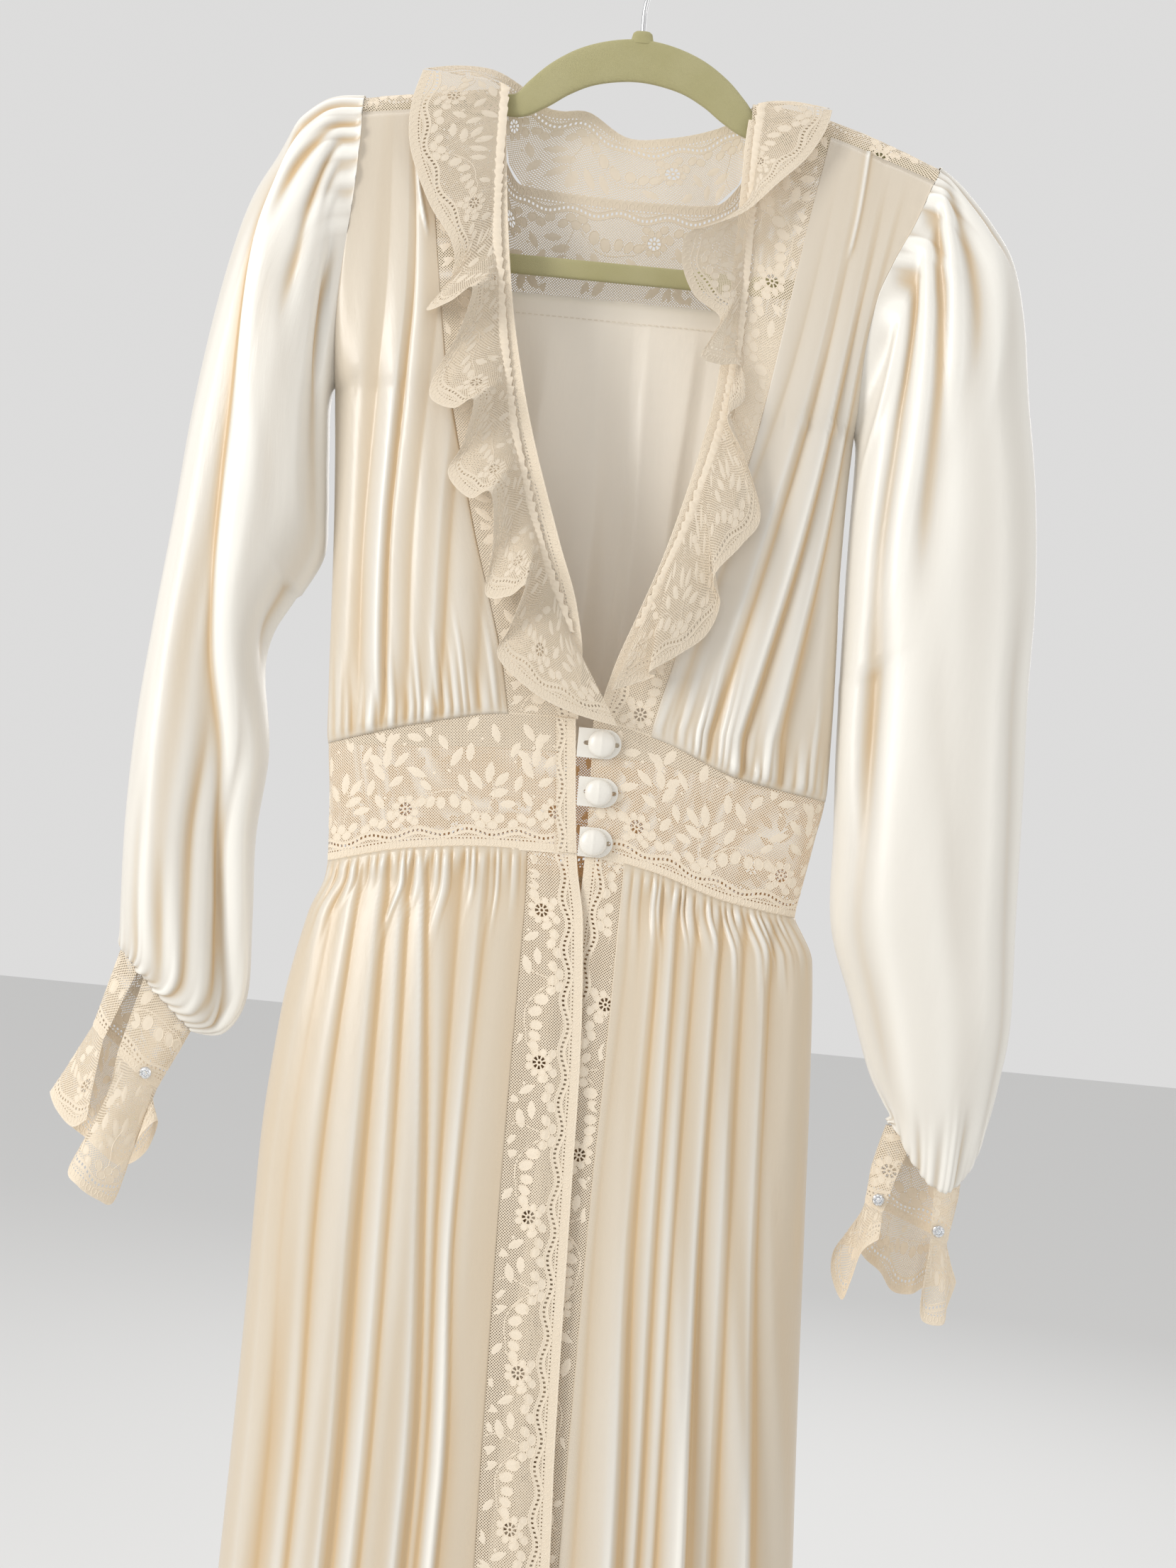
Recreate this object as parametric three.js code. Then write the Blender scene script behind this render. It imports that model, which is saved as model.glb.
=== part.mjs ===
// A satin dressing gown with lace trim, hung on a velvet clothes hanger.
// Millimetres, +Z up, the front of the gown faces -Y, and left and right are as seen from the front.
// The origin is the inside top of the hook's bend, where a rail would carry it.
import * as THREE from "three";

// ---- driving dimensions ----
const SATIN = 1.2; // wall of a satin piece
const LACE = 1.0; // wall of a lace piece
const SEAM = 0.3; // gap between two pieces at a seam
const HALF_SEAM = SEAM / 2;
const LAY = LACE + SEAM; // from the middle of a wall to the middle of one laid on it
const SHOULDER_TURN = 12; // how far a shoulder strip comes down at the front and the back
const HEM_Z = -1460;
const YOKE_Z = -257; // seam of the back yoke and the back bodice
const ROUNDING = 2.4; // exponent of the flattened round section of the body

// ridge of the shoulders: height of the cloth's top along the hanger
const SHOULDER = [
  { x: -212, z: -150 },
  { x: -181, z: -142 },
  { x: -154, z: -137 },
  { x: -120, z: -131.5 },
  { x: -88, z: -126.5 },
  { x: 0, z: -122 },
  { x: 82, z: -121 },
  { x: 100, z: -122 },
  { x: 132, z: -127.5 },
  { x: 170, z: -139 },
  { x: 207, z: -153.3 },
  { x: 220, z: -159 },
];

// outer edges of the body: the armhole seams above the underarm, the side seams below it
const BODY_SIDES = [
  { z: -120, left: -181, right: 208 },
  { z: -154, left: -181, right: 206 },
  { z: -173, left: -180, right: 200 },
  { z: -196, left: -180, right: 192 },
  { z: -223, left: -181, right: 180 },
  { z: -250, left: -183, right: 171 },
  { z: -290, left: -184.5, right: 166.4 },
  { z: -336, left: -182.5, right: 166 },
  { z: -379, left: -178.5, right: 165 },
  { z: -427, left: -174.5, right: 165.5 },
  { z: -480, left: -171, right: 168.5 },
  { z: -530, left: -168, right: 170.5 },
  { z: -580, left: -164, right: 171 },
  { z: -610, left: -160.5, right: 166.5 },
  { z: -660, left: -157, right: 158 },
];

// half depths of the body, by the drop below the shoulder's ridge
const BODY_DEPTH = [
  { drop: 0, front: 4.2, back: 4.2 },
  { drop: 12, front: 6, back: 5.6 },
  { drop: 60, front: 16, back: 13 },
  { drop: 110, front: 26, back: 19 },
  { drop: 160, front: 32, back: 24 },
  { drop: 210, front: 36, back: 27 },
  { drop: 310, front: 38, back: 29 },
  { drop: 380, front: 36, back: 28 },
  { drop: 430, front: 32, back: 26 },
  { drop: 560, front: 31, back: 26 },
];

const SIDE_TURN = 6; // height over which the armhole seam turns into the side seam
const ARMHOLE = { bottom: -336, front: 24, back: 19, gap: { left: 0.9, right: 1.2 } };

// front edges of the bodice, and where its lace bands meet the satin
const NECKLINE = [
  { z: -120, left: -87, right: 77, bandLeft: -140, bandRight: 135 },
  { z: -150, left: -85, right: 75, bandLeft: -136, bandRight: 130 },
  { z: -204, left: -79, right: 74.5, bandLeft: -128, bandRight: 121 },
  { z: -276, left: -68, right: 73, bandLeft: -116, bandRight: 111 },
  { z: -324, left: -57, right: 70, bandLeft: -107, bandRight: 104 },
  { z: -359, left: -47, right: 64, bandLeft: -98, bandRight: 98 },
  { z: -430, left: -22, right: 47, bandLeft: -78, bandRight: 80 },
  { z: -470, left: -7, right: 34, bandLeft: -65, bandRight: 68 },
  { z: -505, left: 0, right: 22, bandLeft: -54, bandRight: 59 },
  { z: -545, left: 1, right: 12, bandLeft: -45, bandRight: 50 },
];

// the lace waistband, arched up at the front and nearly level at the back
const WAISTBAND = [
  { x: -166, frontTop: -576, frontBottom: -656, backTop: -576, backBottom: -656 },
  { x: -100, frontTop: -556, frontBottom: -639, backTop: -572, backBottom: -652 },
  { x: -45, frontTop: -545, frontBottom: -633, backTop: -568, backBottom: -649 },
  { x: 10, frontTop: -544, frontBottom: -632, backTop: -567, backBottom: -648 },
  { x: 56, frontTop: -553, frontBottom: -639, backTop: -569, backBottom: -650 },
  { x: 110, frontTop: -573, frontBottom: -655, backTop: -576, backBottom: -656 },
  { x: 172, frontTop: -583, frontBottom: -664, backTop: -583, backBottom: -664 },
];

// level sections of the skirt
const SKIRT = [
  { z: -625, left: -159, right: 164, front: 31, back: 26 },
  { z: -660, left: -157, right: 158, front: 32, back: 27 },
  { z: -690, left: -167, right: 172, front: 40, back: 34 },
  { z: -760, left: -179, right: 178, front: 48, back: 41 },
  { z: -850, left: -184, right: 183, front: 54, back: 46 },
  { z: -960, left: -183, right: 189, front: 60, back: 51 },
  { z: -1130, left: -184, right: 199, front: 67, back: 57 },
  { z: -1300, left: -190, right: 207, front: 73, back: 62 },
  { z: -1460, left: -195, right: 213, front: 77, back: 65 },
];

// front edges of the skirt and the inner edges of its lace bands
const CLOSURE = [
  { z: -540, left: -1, right: 11, bandLeft: -37, bandRight: 40 },
  { z: -636, left: 9, right: 14, bandLeft: -24, bandRight: 40 },
  { z: -678, left: 17, right: 13, bandLeft: -22, bandRight: 40 },
  { z: -773, left: 24, right: 7, bandLeft: -21, bandRight: 40 },
  { z: -845, left: 26, right: 1, bandLeft: -20, bandRight: 39 },
  { z: -1007, left: 31, right: -4, bandLeft: -16, bandRight: 40 },
  { z: -1113, left: 36, right: -5, bandLeft: -13, bandRight: 41 },
  { z: -1460, left: 42, right: -6, bandLeft: -10, bandRight: 43 },
];
const LAP = { lift: 1.5, sink: 3.5, start: -640, full: -690, reach: 46 };

// soft vertical folds, a row each: where it stands at the top and the bottom, its two flanks and its height
const BODICE_FOLDS_LEFT = [
  { top: -166, bottom: -154, left: 6, right: 5, height: 2.5 },
  { top: -148, bottom: -137, left: 7, right: 6, height: 3 },
  { top: -130, bottom: -116, left: 8, right: 6, height: 3.5 },
  { top: -112, bottom: -96, left: 7, right: 6, height: 3 },
  { top: -97, bottom: -74, left: 6, right: 6, height: 2.5 },
];
const BODICE_FOLDS_RIGHT = [
  { top: 187, bottom: 157, left: 8, right: 5, height: 3 },
  { top: 170, bottom: 139, left: 9, right: 5, height: 4 },
  { top: 156, bottom: 119, left: 10, right: 6, height: 4.5 },
  { top: 142, bottom: 97, left: 9, right: 6, height: 4 },
  { top: 126, bottom: 76, left: 8, right: 6, height: 3 },
];
const BODICE_FOLDS_BACK = [
  { top: -140, bottom: -128, left: 11, right: 9, height: 3 },
  { top: -98, bottom: -84, left: 10, right: 12, height: 3.5 },
  { top: -52, bottom: -44, left: 12, right: 10, height: 2.5 },
  { top: 2, bottom: 4, left: 13, right: 12, height: 3 },
  { top: 48, bottom: 47, left: 10, right: 12, height: 2.5 },
  { top: 96, bottom: 92, left: 12, right: 9, height: 3.5 },
  { top: 138, bottom: 134, left: 9, right: 11, height: 3 },
];
const SKIRT_FOLDS_LEFT = [
  { top: -152, bottom: -163, left: 13, right: 9, height: 8 },
  { top: -120, bottom: -126, left: 15, right: 10, height: 9 },
  { top: -84, bottom: -86, left: 17, right: 11, height: 12 },
  { top: -46, bottom: -38, left: 9, right: 9, height: 8 },
];
const SKIRT_FOLDS_RIGHT = [
  { top: 47, bottom: 68, left: 14, right: 8, height: 10 },
  { top: 75, bottom: 115, left: 15, right: 9, height: 12 },
  { top: 104, bottom: 156, left: 12, right: 8, height: 10 },
  { top: 131, bottom: 183, left: 11, right: 8, height: 7 },
];
const SKIRT_FOLDS_BACK = [
  { top: -140, bottom: -163, left: 10, right: 13, height: 8 },
  { top: -110, bottom: -126, left: 11, right: 15, height: 11 },
  { top: -78, bottom: -86, left: 14, right: 12, height: 9 },
  { top: -44, bottom: -46, left: 11, right: 14, height: 12 },
  { top: -8, bottom: -4, left: 15, right: 12, height: 10 },
  { top: 26, bottom: 36, left: 11, right: 13, height: 12 },
  { top: 60, bottom: 78, left: 13, right: 14, height: 9 },
  { top: 92, bottom: 118, left: 15, right: 11, height: 11 },
  { top: 126, bottom: 160, left: 11, right: 12, height: 8 },
];
const SKIRT_FOLD_TOP = -670;
const SKIRT_FOLD_LEVEL = -1060; // where a skirt fold stands at its bottom place

// sleeves, a row for each ring: its outer and its inner point, its half depths, and how far its front droops
const SLEEVE_LEFT = [
  { outX: -182, outZ: -142.5, inX: -183, inZ: -337, front: 24, back: 19, droop: 0 },
  { outX: -197, outZ: -143.6, inX: -184.2, inZ: -340, front: 28, back: 22, droop: 0 },
  { outX: -210, outZ: -148.5, inX: -185, inZ: -346, front: 33, back: 26, droop: 0 },
  { outX: -226, outZ: -163, inX: -185.2, inZ: -356, front: 37, back: 29, droop: 0 },
  { outX: -241, outZ: -186, inX: -184, inZ: -372, front: 40, back: 31, droop: 0 },
  { outX: -255, outZ: -216, inX: -182, inZ: -396, front: 42, back: 33, droop: 0 },
  { outX: -265, outZ: -258, inX: -179.5, inZ: -424, front: 43, back: 34, droop: 0 },
  { outX: -273, outZ: -310, inX: -179.5, inZ: -452, front: 43, back: 34, droop: 0 },
  { outX: -279, outZ: -368, inX: -194, inZ: -482, front: 42, back: 34, droop: 0 },
  { outX: -283, outZ: -432, inX: -207, inZ: -508, front: 40, back: 33, droop: 0 },
  { outX: -289, outZ: -503, inX: -211, inZ: -536, front: 38, back: 32, droop: 0 },
  { outX: -294, outZ: -570, inX: -204, inZ: -586, front: 38, back: 32, droop: 0 },
  { outX: -295, outZ: -635, inX: -207.5, inZ: -642, front: 38, back: 32, droop: 0 },
  { outX: -293, outZ: -688, inX: -204.5, inZ: -698, front: 38, back: 31, droop: 0 },
  { outX: -291.5, outZ: -712, inX: -203.5, inZ: -750, front: 34, back: 27, droop: 4 },
  { outX: -291, outZ: -720, inX: -217, inZ: -775, front: 23, back: 17, droop: 3 },
  { outX: -289, outZ: -724, inX: -237, inZ: -775, front: 11, back: 9, droop: 0 },
];
const SLEEVE_RIGHT = [
  { outX: 207.5, outZ: -154, inX: 166.6, inZ: -337, front: 24, back: 19, droop: 0 },
  { outX: 216, outZ: -158, inX: 168, inZ: -340, front: 30, back: 24, droop: 0 },
  { outX: 229, outZ: -169, inX: 169, inZ: -346, front: 36, back: 28, droop: 0 },
  { outX: 246, outZ: -187, inX: 169.5, inZ: -356, front: 40, back: 31, droop: 0 },
  { outX: 262, outZ: -211, inX: 169.8, inZ: -372, front: 43, back: 33, droop: 0 },
  { outX: 273, outZ: -250, inX: 170, inZ: -394, front: 44, back: 34, droop: 0 },
  { outX: 281, outZ: -302, inX: 170.6, inZ: -424, front: 44, back: 34, droop: 0 },
  { outX: 291, outZ: -360, inX: 172, inZ: -462, front: 44, back: 34, droop: 0 },
  { outX: 298, outZ: -430, inX: 173.5, inZ: -506, front: 43, back: 34, droop: 0 },
  { outX: 299.5, outZ: -500, inX: 175.5, inZ: -552, front: 42, back: 34, droop: 0 },
  { outX: 303, outZ: -573, inX: 179, inZ: -603, front: 42, back: 34, droop: 0 },
  { outX: 306, outZ: -650, inX: 183, inZ: -664, front: 42, back: 34, droop: 0 },
  { outX: 309, outZ: -720, inX: 200, inZ: -712, front: 40, back: 32, droop: 0 },
  { outX: 305, outZ: -758, inX: 217, inZ: -758, front: 34, back: 27, droop: 6 },
  { outX: 300, outZ: -780, inX: 229, inZ: -778, front: 28, back: 19, droop: 20 },
  { outX: 293, outZ: -795, inX: 236, inZ: -788, front: 23, back: 13, droop: 40 },
  { outX: 285, outZ: -799, inX: 233, inZ: -792, front: 10, back: 8, droop: 0 },
];
const DROOP_TURN = 12; // degrees by which the droop leans to the outer side

// long sleeve folds: ring angle at the head and at the wrist (0 outer, 90 front, 180 inner), width, height
const SLEEVE_FOLDS_LEFT = [
  { head: 38, wrist: 20, width: 9, height: 3.5 },
  { head: 62, wrist: 55, width: 10, height: 5 },
  { head: 88, wrist: 84, width: 9, height: 5 },
  { head: 118, wrist: 122, width: 10, height: 3.5 },
  { head: 236, wrist: 232, width: 10, height: 3.5 },
  { head: 268, wrist: 272, width: 9, height: 5 },
  { head: 298, wrist: 305, width: 10, height: 4.5 },
  { head: 326, wrist: 340, width: 9, height: 3 },
];
const SLEEVE_FOLDS_RIGHT = [
  { head: 30, wrist: 16, width: 9, height: 3 },
  { head: 58, wrist: 46, width: 10, height: 3.5 },
  { head: 92, wrist: 80, width: 11, height: 4.5 },
  { head: 126, wrist: 118, width: 9, height: 4 },
  { head: 238, wrist: 240, width: 10, height: 3.5 },
  { head: 266, wrist: 276, width: 10, height: 5 },
  { head: 300, wrist: 312, width: 10, height: 4 },
  { head: 330, wrist: 345, width: 9, height: 3 },
];
const SLEEVE_GATHERS = 12;

// the cuffs: two rings each, and the split at the front by its middle and its half widths in degrees
const CUFF_LEFT = {
  rings: [
    { outX: -290, outZ: -725.2, inX: -238, inZ: -776.5, front: 10, back: 8 },
    { outX: -297, outZ: -752, inX: -247.5, inZ: -797, front: 11, back: 9 },
    { outX: -304, outZ: -779, inX: -257, inZ: -817, front: 12, back: 9 },
  ],
  split: { middle: 68, top: 5, bottom: 14 },
};
const CUFF_RIGHT = {
  rings: [
    { outX: 284.6, outZ: -801.4, inX: 232.6, inZ: -794.4, front: 7.5, back: 7 },
    { outX: 286, outZ: -834, inX: 226, inZ: -821, front: 9, back: 9 },
    { outX: 281, outZ: -870, inX: 223.5, inZ: -848, front: 11, back: 10 },
  ],
  split: { middle: 92, top: 12, bottom: 36 },
};

// free edge of each cuff flounce, from one side of the split round the back to the other
const FLOUNCE_LEFT = [
  { x: -287, y: -15, z: -838 },
  { x: -306, y: -24, z: -871 },
  { x: -298, y: -30, z: -882 },
  { x: -285, y: -24, z: -891 },
  { x: -276, y: -16, z: -893 },
  { x: -270, y: -8, z: -866 },
  { x: -262, y: -14, z: -846 },
  { x: -253, y: -8, z: -838 },
  { x: -262, y: 8, z: -862 },
  { x: -279, y: 15, z: -874 },
  { x: -294, y: 10, z: -864 },
  { x: -306, y: 20, z: -858 },
  { x: -320, y: 13, z: -846 },
  { x: -329, y: 3, z: -827 },
  { x: -322, y: -8, z: -836 },
  { x: -309, y: -14, z: -846 },
  { x: -299, y: -17, z: -840 },
];
const FLOUNCE_RIGHT = [
  { x: 232, y: -22, z: -868 },
  { x: 222, y: -19, z: -878 },
  { x: 217, y: -14, z: -900 },
  { x: 213, y: -7, z: -913 },
  { x: 205, y: -2, z: -896 },
  { x: 208, y: 6, z: -880 },
  { x: 222, y: 13, z: -882 },
  { x: 231, y: 18, z: -890 },
  { x: 240, y: 12, z: -896 },
  { x: 250, y: 19, z: -909 },
  { x: 262, y: 13, z: -909 },
  { x: 272, y: 20, z: -905 },
  { x: 287, y: 12, z: -900 },
  { x: 290, y: 2, z: -896 },
  { x: 284, y: -7, z: -912 },
  { x: 281, y: -14, z: -922 },
  { x: 266, y: -18, z: -919 },
  { x: 264, y: -20, z: -900 },
];

// ruffles down the fronts: height of the seam under each point of the free edge, and how far it stands out
const RUFFLE_LEFT = [
  { seam: -125, x: -144, z: -121, lift: 2 },
  { seam: -140, x: -149, z: -148, lift: 8 },
  { seam: -160, x: -146, z: -178, lift: 10 },
  { seam: -184, x: -130, z: -214, lift: 12 },
  { seam: -206, x: -112, z: -240, lift: 11 },
  { seam: -222, x: -110, z: -262, lift: 6 },
  { seam: -236, x: -124, z: -286, lift: 9 },
  { seam: -249, x: -108, z: -282, lift: 21 },
  { seam: -261, x: -94, z: -273, lift: 26 },
  { seam: -275, x: -101, z: -301, lift: 14 },
  { seam: -290, x: -114, z: -328, lift: 8 },
  { seam: -303, x: -115, z: -345, lift: 12 },
  { seam: -317, x: -99, z: -352, lift: 21 },
  { seam: -329, x: -86, z: -346, lift: 25 },
  { seam: -342, x: -91, z: -373, lift: 13 },
  { seam: -355, x: -99, z: -393, lift: 9 },
  { seam: -368, x: -83, z: -409, lift: 20 },
  { seam: -380, x: -69, z: -405, lift: 25 },
  { seam: -394, x: -65, z: -437, lift: 13 },
  { seam: -408, x: -67, z: -469, lift: 9 },
  { seam: -420, x: -51, z: -470, lift: 20 },
  { seam: -431, x: -41, z: -463, lift: 25 },
  { seam: -442, x: -49, z: -490, lift: 13 },
  { seam: -453, x: -55, z: -509, lift: 9 },
  { seam: -465, x: -30, z: -530, lift: 13 },
  { seam: -477, x: -3, z: -541, lift: 15 },
  { seam: -488, x: 27, z: -547, lift: 13 },
];
const RUFFLE_RIGHT = [
  { seam: -121, x: 131, z: -122, lift: 2 },
  { seam: -134, x: 127, z: -139, lift: 9 },
  { seam: -150, x: 116, z: -160, lift: 14 },
  { seam: -166, x: 98, z: -181, lift: 20 },
  { seam: -182, x: 78, z: -204, lift: 27 },
  { seam: -196, x: 56, z: -217, lift: 32 },
  { seam: -209, x: 41, z: -225, lift: 32 },
  { seam: -222, x: 40, z: -243, lift: 25 },
  { seam: -235, x: 50, z: -262, lift: 18 },
  { seam: -248, x: 68, z: -274, lift: 13 },
  { seam: -260, x: 63, z: -290, lift: 19 },
  { seam: -272, x: 58, z: -303, lift: 23 },
  { seam: -285, x: 70, z: -306, lift: 17 },
  { seam: -297, x: 85, z: -305, lift: 9 },
  { seam: -310, x: 89, z: -326, lift: 8 },
  { seam: -322, x: 79, z: -341, lift: 17 },
  { seam: -335, x: 93, z: -364, lift: 11 },
  { seam: -350, x: 107, z: -401, lift: 8 },
  { seam: -364, x: 96, z: -422, lift: 15 },
  { seam: -378, x: 80, z: -444, lift: 21 },
  { seam: -392, x: 86, z: -461, lift: 9 },
  { seam: -406, x: 79, z: -482, lift: 9 },
  { seam: -422, x: 62, z: -497, lift: 15 },
  { seam: -438, x: 44, z: -510, lift: 20 },
  { seam: -452, x: 48, z: -512, lift: 9 },
  { seam: -466, x: 33, z: -519, lift: 9 },
  { seam: -480, x: 21, z: -524, lift: 13 },
];
const RUFFLE_SEAM = [
  { z: -121, left: -89, right: 84 },
  { z: -153, left: -88, right: 83 },
  { z: -204, left: -86, right: 82.5 },
  { z: -277, left: -76, right: 82 },
  { z: -330, left: -66, right: 78.5 },
  { z: -360, left: -59, right: 73 },
  { z: -410, left: -43, right: 60 },
  { z: -437, left: -33, right: 51 },
  { z: -476, left: -15, right: 37 },
  { z: -495, left: -7, right: 29 },
];

// the standing collar behind the neck: its seam on the yoke and its free edge
const COLLAR = [
  { seamX: -88.8, seamY: -4.9, seamZ: -124.4, x: -143.6, y: -7, z: -120 },
  { seamX: -88.3, seamY: 0, seamZ: -124.7, x: -121, y: 1, z: -113.5 },
  { seamX: -88.2, seamY: 6.3, seamZ: -129, x: -98, y: 10, z: -111.6 },
  { seamX: -87, seamY: 8, seamZ: -150.5, x: -78, y: 17, z: -119 },
  { seamX: -82, seamY: 11.6, seamZ: -173.8, x: -62, y: 21, z: -129.5 },
  { seamX: -71.4, seamY: 13.5, seamZ: -187.1, x: -50, y: 24, z: -131 },
  { seamX: -40, seamY: 14, seamZ: -189.7, x: -31, y: 25, z: -130 },
  { seamX: 0, seamY: 14.3, seamZ: -190.7, x: -4, y: 27, z: -144 },
  { seamX: 40, seamY: 14.3, seamZ: -190.2, x: 24, y: 26, z: -142 },
  { seamX: 59.6, seamY: 14.1, seamZ: -188.1, x: 50, y: 24, z: -135.5 },
  { seamX: 74, seamY: 12, seamZ: -173, x: 68, y: 22, z: -127 },
  { seamX: 80.9, seamY: 7.9, seamZ: -147, x: 83, y: 17, z: -115 },
  { seamX: 83.4, seamY: 6.2, seamZ: -124.4, x: 102, y: 10, z: -113.5 },
  { seamX: 83.6, seamY: 0, seamZ: -119.3, x: 118, y: 1, z: -117 },
  { seamX: 83.8, seamY: -4.9, seamZ: -120.4, x: 130.6, y: -7, z: -121 },
];

// upper edge of the back yoke, cut out for the neck
const YOKE_TOP = [
  { x: -92, z: -139.5 },
  { x: -88, z: -152 },
  { x: -83, z: -175 },
  { x: -72, z: -188 },
  { x: -40, z: -190.5 },
  { x: 0, z: -191.5 },
  { x: 40, z: -191 },
  { x: 60, z: -189 },
  { x: 75, z: -174 },
  { x: 82, z: -148 },
  { x: 86, z: -134.5 },
];

const BUTTON = { radius: 9, crown: 4.2, rim: 1.6, shank: 2.2, stand: 2.6 };
const BUTTONS = [
  { name: "button_top", x: 18, z: -559 },
  { name: "button_middle", x: 19, z: -591 },
  { name: "button_bottom", x: 18.5, z: -624 },
];
const LOOP = { halfHeight: 8, strand: 5.4, past: 13, thickness: 1.4 };

const STUDS = [
  { name: "stud_left", cuff: CUFF_LEFT, x: -264, z: -806, stand: 2.6 },
  { name: "stud_right_inner", cuff: CUFF_RIGHT, x: 231, z: -844, stand: 1.6 },
  { name: "stud_right_outer", cuff: CUFF_RIGHT, x: 273, z: -861, stand: 1.6 },
];
const STUD = { radius: 4.2, depth: 3.4 };

const HANGER_THICKNESS = 5.5;
// middle line of the hanger's frame on one side, from the top of the arch round to the bar
const HANGER_LINE = [
  { x: 0, z: -99.3, half: 14.3 },
  { x: 18, z: -101.3, half: 14 },
  { x: 36, z: -106.8, half: 13.2 },
  { x: 52, z: -116, half: 12.2 },
  { x: 65, z: -126.8, half: 10.8 },
  { x: 77, z: -136, half: 8.2 },
  { x: 92, z: -137.9, half: 6.9 },
  { x: 120, z: -142.4, half: 6.5 },
  { x: 196, z: -157.6, half: 6.5 },
  { x: 204, z: -166, half: 6.5 },
  { x: 202.5, z: -178, half: 6.5 },
  { x: 190, z: -202, half: 6.5 },
  { x: 172, z: -228, half: 6.5 },
  { x: 158, z: -239.5, half: 6.5 },
  { x: 140, z: -242.5, half: 6.5 },
];
const HOOK = { wire: 1.75, bend: 20, shankFoot: -84.5, sides: 4 };

// ---- curves and walls ----

// A smooth curve through the rows of a table, with no overshoot between them.
function track(rows, by, column) {
  const sorted = [...rows].sort((a, b) => a[by] - b[by]);
  const at = sorted.map((row) => row[by]);
  const value = sorted.map((row) => row[column]);
  const last = at.length - 1;
  const slope = at.slice(1).map((_, i) => (value[i + 1] - value[i]) / (at[i + 1] - at[i]));
  const tangent = value.map((_, i) => {
    if (i === 0) return slope[0];
    if (i === last) return slope[last - 1];
    const product = slope[i - 1] * slope[i];
    return product <= 0 ? 0 : (2 * product) / (slope[i - 1] + slope[i]);
  });
  return (where) => {
    const x = Math.min(Math.max(where, at[0]), at[last]);
    let i = 0;
    while (i < last - 1 && x > at[i + 1]) i += 1;
    const span = at[i + 1] - at[i];
    const t = (x - at[i]) / span;
    const rest = 1 - t;
    const start = value[i] * (1 + 2 * t) + tangent[i] * span * t;
    const end = value[i + 1] * (3 - 2 * t) - tangent[i + 1] * span * rest;
    return start * rest * rest + end * t * t;
  };
}

// A rounder curve through evenly spaced rows, for free edges that swing to and fro.
function swing(rows, column) {
  const last = rows.length - 1;
  const value = (i) => rows[Math.min(Math.max(i, 0), last)][column];
  return (part) => {
    const place = Math.min(Math.max(part, 0), 1) * last;
    const i = Math.min(Math.floor(place), last - 1);
    const t = place - i;
    const bend = value(i - 1) * -1 + value(i) * 3 - value(i + 1) * 3 + value(i + 2);
    const sag = value(i - 1) * 2 - value(i) * 5 + value(i + 1) * 4 - value(i + 2);
    return value(i) + 0.5 * t * (value(i + 1) - value(i - 1) + t * (sag + t * bend));
  };
}

const mix = (a, b, t) => a + (b - a) * t;

// Straight lines between evenly spaced rows, for a seam that lies along another piece's corners.
function straight(rows, column) {
  const last = rows.length - 1;
  return (part) => {
    const i = Math.min(Math.floor(part * last), last - 1);
    return mix(rows[i][column], rows[i + 1][column], part * last - i);
  };
}

const ease = (from, to, value) => {
  const t = Math.min(Math.max((value - from) / (to - from), 0), 1);
  return t * t * (3 - 2 * t);
};
const radians = (degrees) => (degrees * Math.PI) / 180;

// A closed wall of even thickness about a grid of middle points; a closed one is a tube.
function wall(point, across, along, thickness, closed = false) {
  const columns = closed ? across : across + 1;
  const rows = along + 1;
  const grid = [];
  for (let j = 0; j < rows; j += 1) {
    for (let i = 0; i < columns; i += 1) grid.push(point(i / across, j / along));
  }
  const at = (i, j) => grid[j * columns + (closed ? (i + columns) % columns : i)];
  const clampColumn = (i) => (closed ? i : Math.min(Math.max(i, 0), columns - 1));
  const clampRow = (j) => Math.min(Math.max(j, 0), rows - 1);
  const positions = [];
  for (const side of [1, -1]) {
    for (let j = 0; j < rows; j += 1) {
      for (let i = 0; i < columns; i += 1) {
        const acrossStep = at(clampColumn(i + 1), j).clone().sub(at(clampColumn(i - 1), j));
        const alongStep = at(i, clampRow(j + 1)).clone().sub(at(i, clampRow(j - 1)));
        const normal = acrossStep.cross(alongStep).normalize();
        const atSeam = j === 0 || j === rows - 1 || (!closed && (i === 0 || i === columns - 1));
        const plain = at(i, j).plainNormal;
        if (atSeam && plain) {
          const sign = Math.sign(normal.dot(plain));
          normal.copy(plain).multiplyScalar(sign);
        }
        const moved = at(i, j).clone().addScaledVector(normal, (side * thickness) / 2);
        positions.push(moved.x, moved.y, moved.z);
      }
    }
  }
  const below = columns * rows;
  const index = [];
  const quad = (a, b, c, d) => index.push(a, b, c, a, c, d);
  const lastColumn = closed ? columns : columns - 1;
  for (let j = 0; j < rows - 1; j += 1) {
    for (let i = 0; i < lastColumn; i += 1) {
      const next = closed ? (i + 1) % columns : i + 1;
      const a = j * columns + i;
      const b = j * columns + next;
      const c = b + columns;
      const d = a + columns;
      quad(a, b, c, d);
      quad(below + d, below + c, below + b, below + a);
    }
  }
  for (let i = 0; i < lastColumn; i += 1) {
    const next = closed ? (i + 1) % columns : i + 1;
    const foot = (rows - 1) * columns;
    quad(next, i, below + i, below + next);
    quad(foot + i, foot + next, below + foot + next, below + foot + i);
  }
  if (!closed) {
    for (let j = 0; j < rows - 1; j += 1) {
      const start = j * columns;
      const end = start + columns - 1;
      quad(start, start + columns, below + start + columns, below + start);
      quad(end + columns, end, below + end, below + end + columns);
    }
  }
  const geometry = new THREE.BufferGeometry();
  geometry.setAttribute("position", new THREE.Float32BufferAttribute(positions, 3));
  geometry.setIndex(index);
  return geometry;
}

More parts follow.
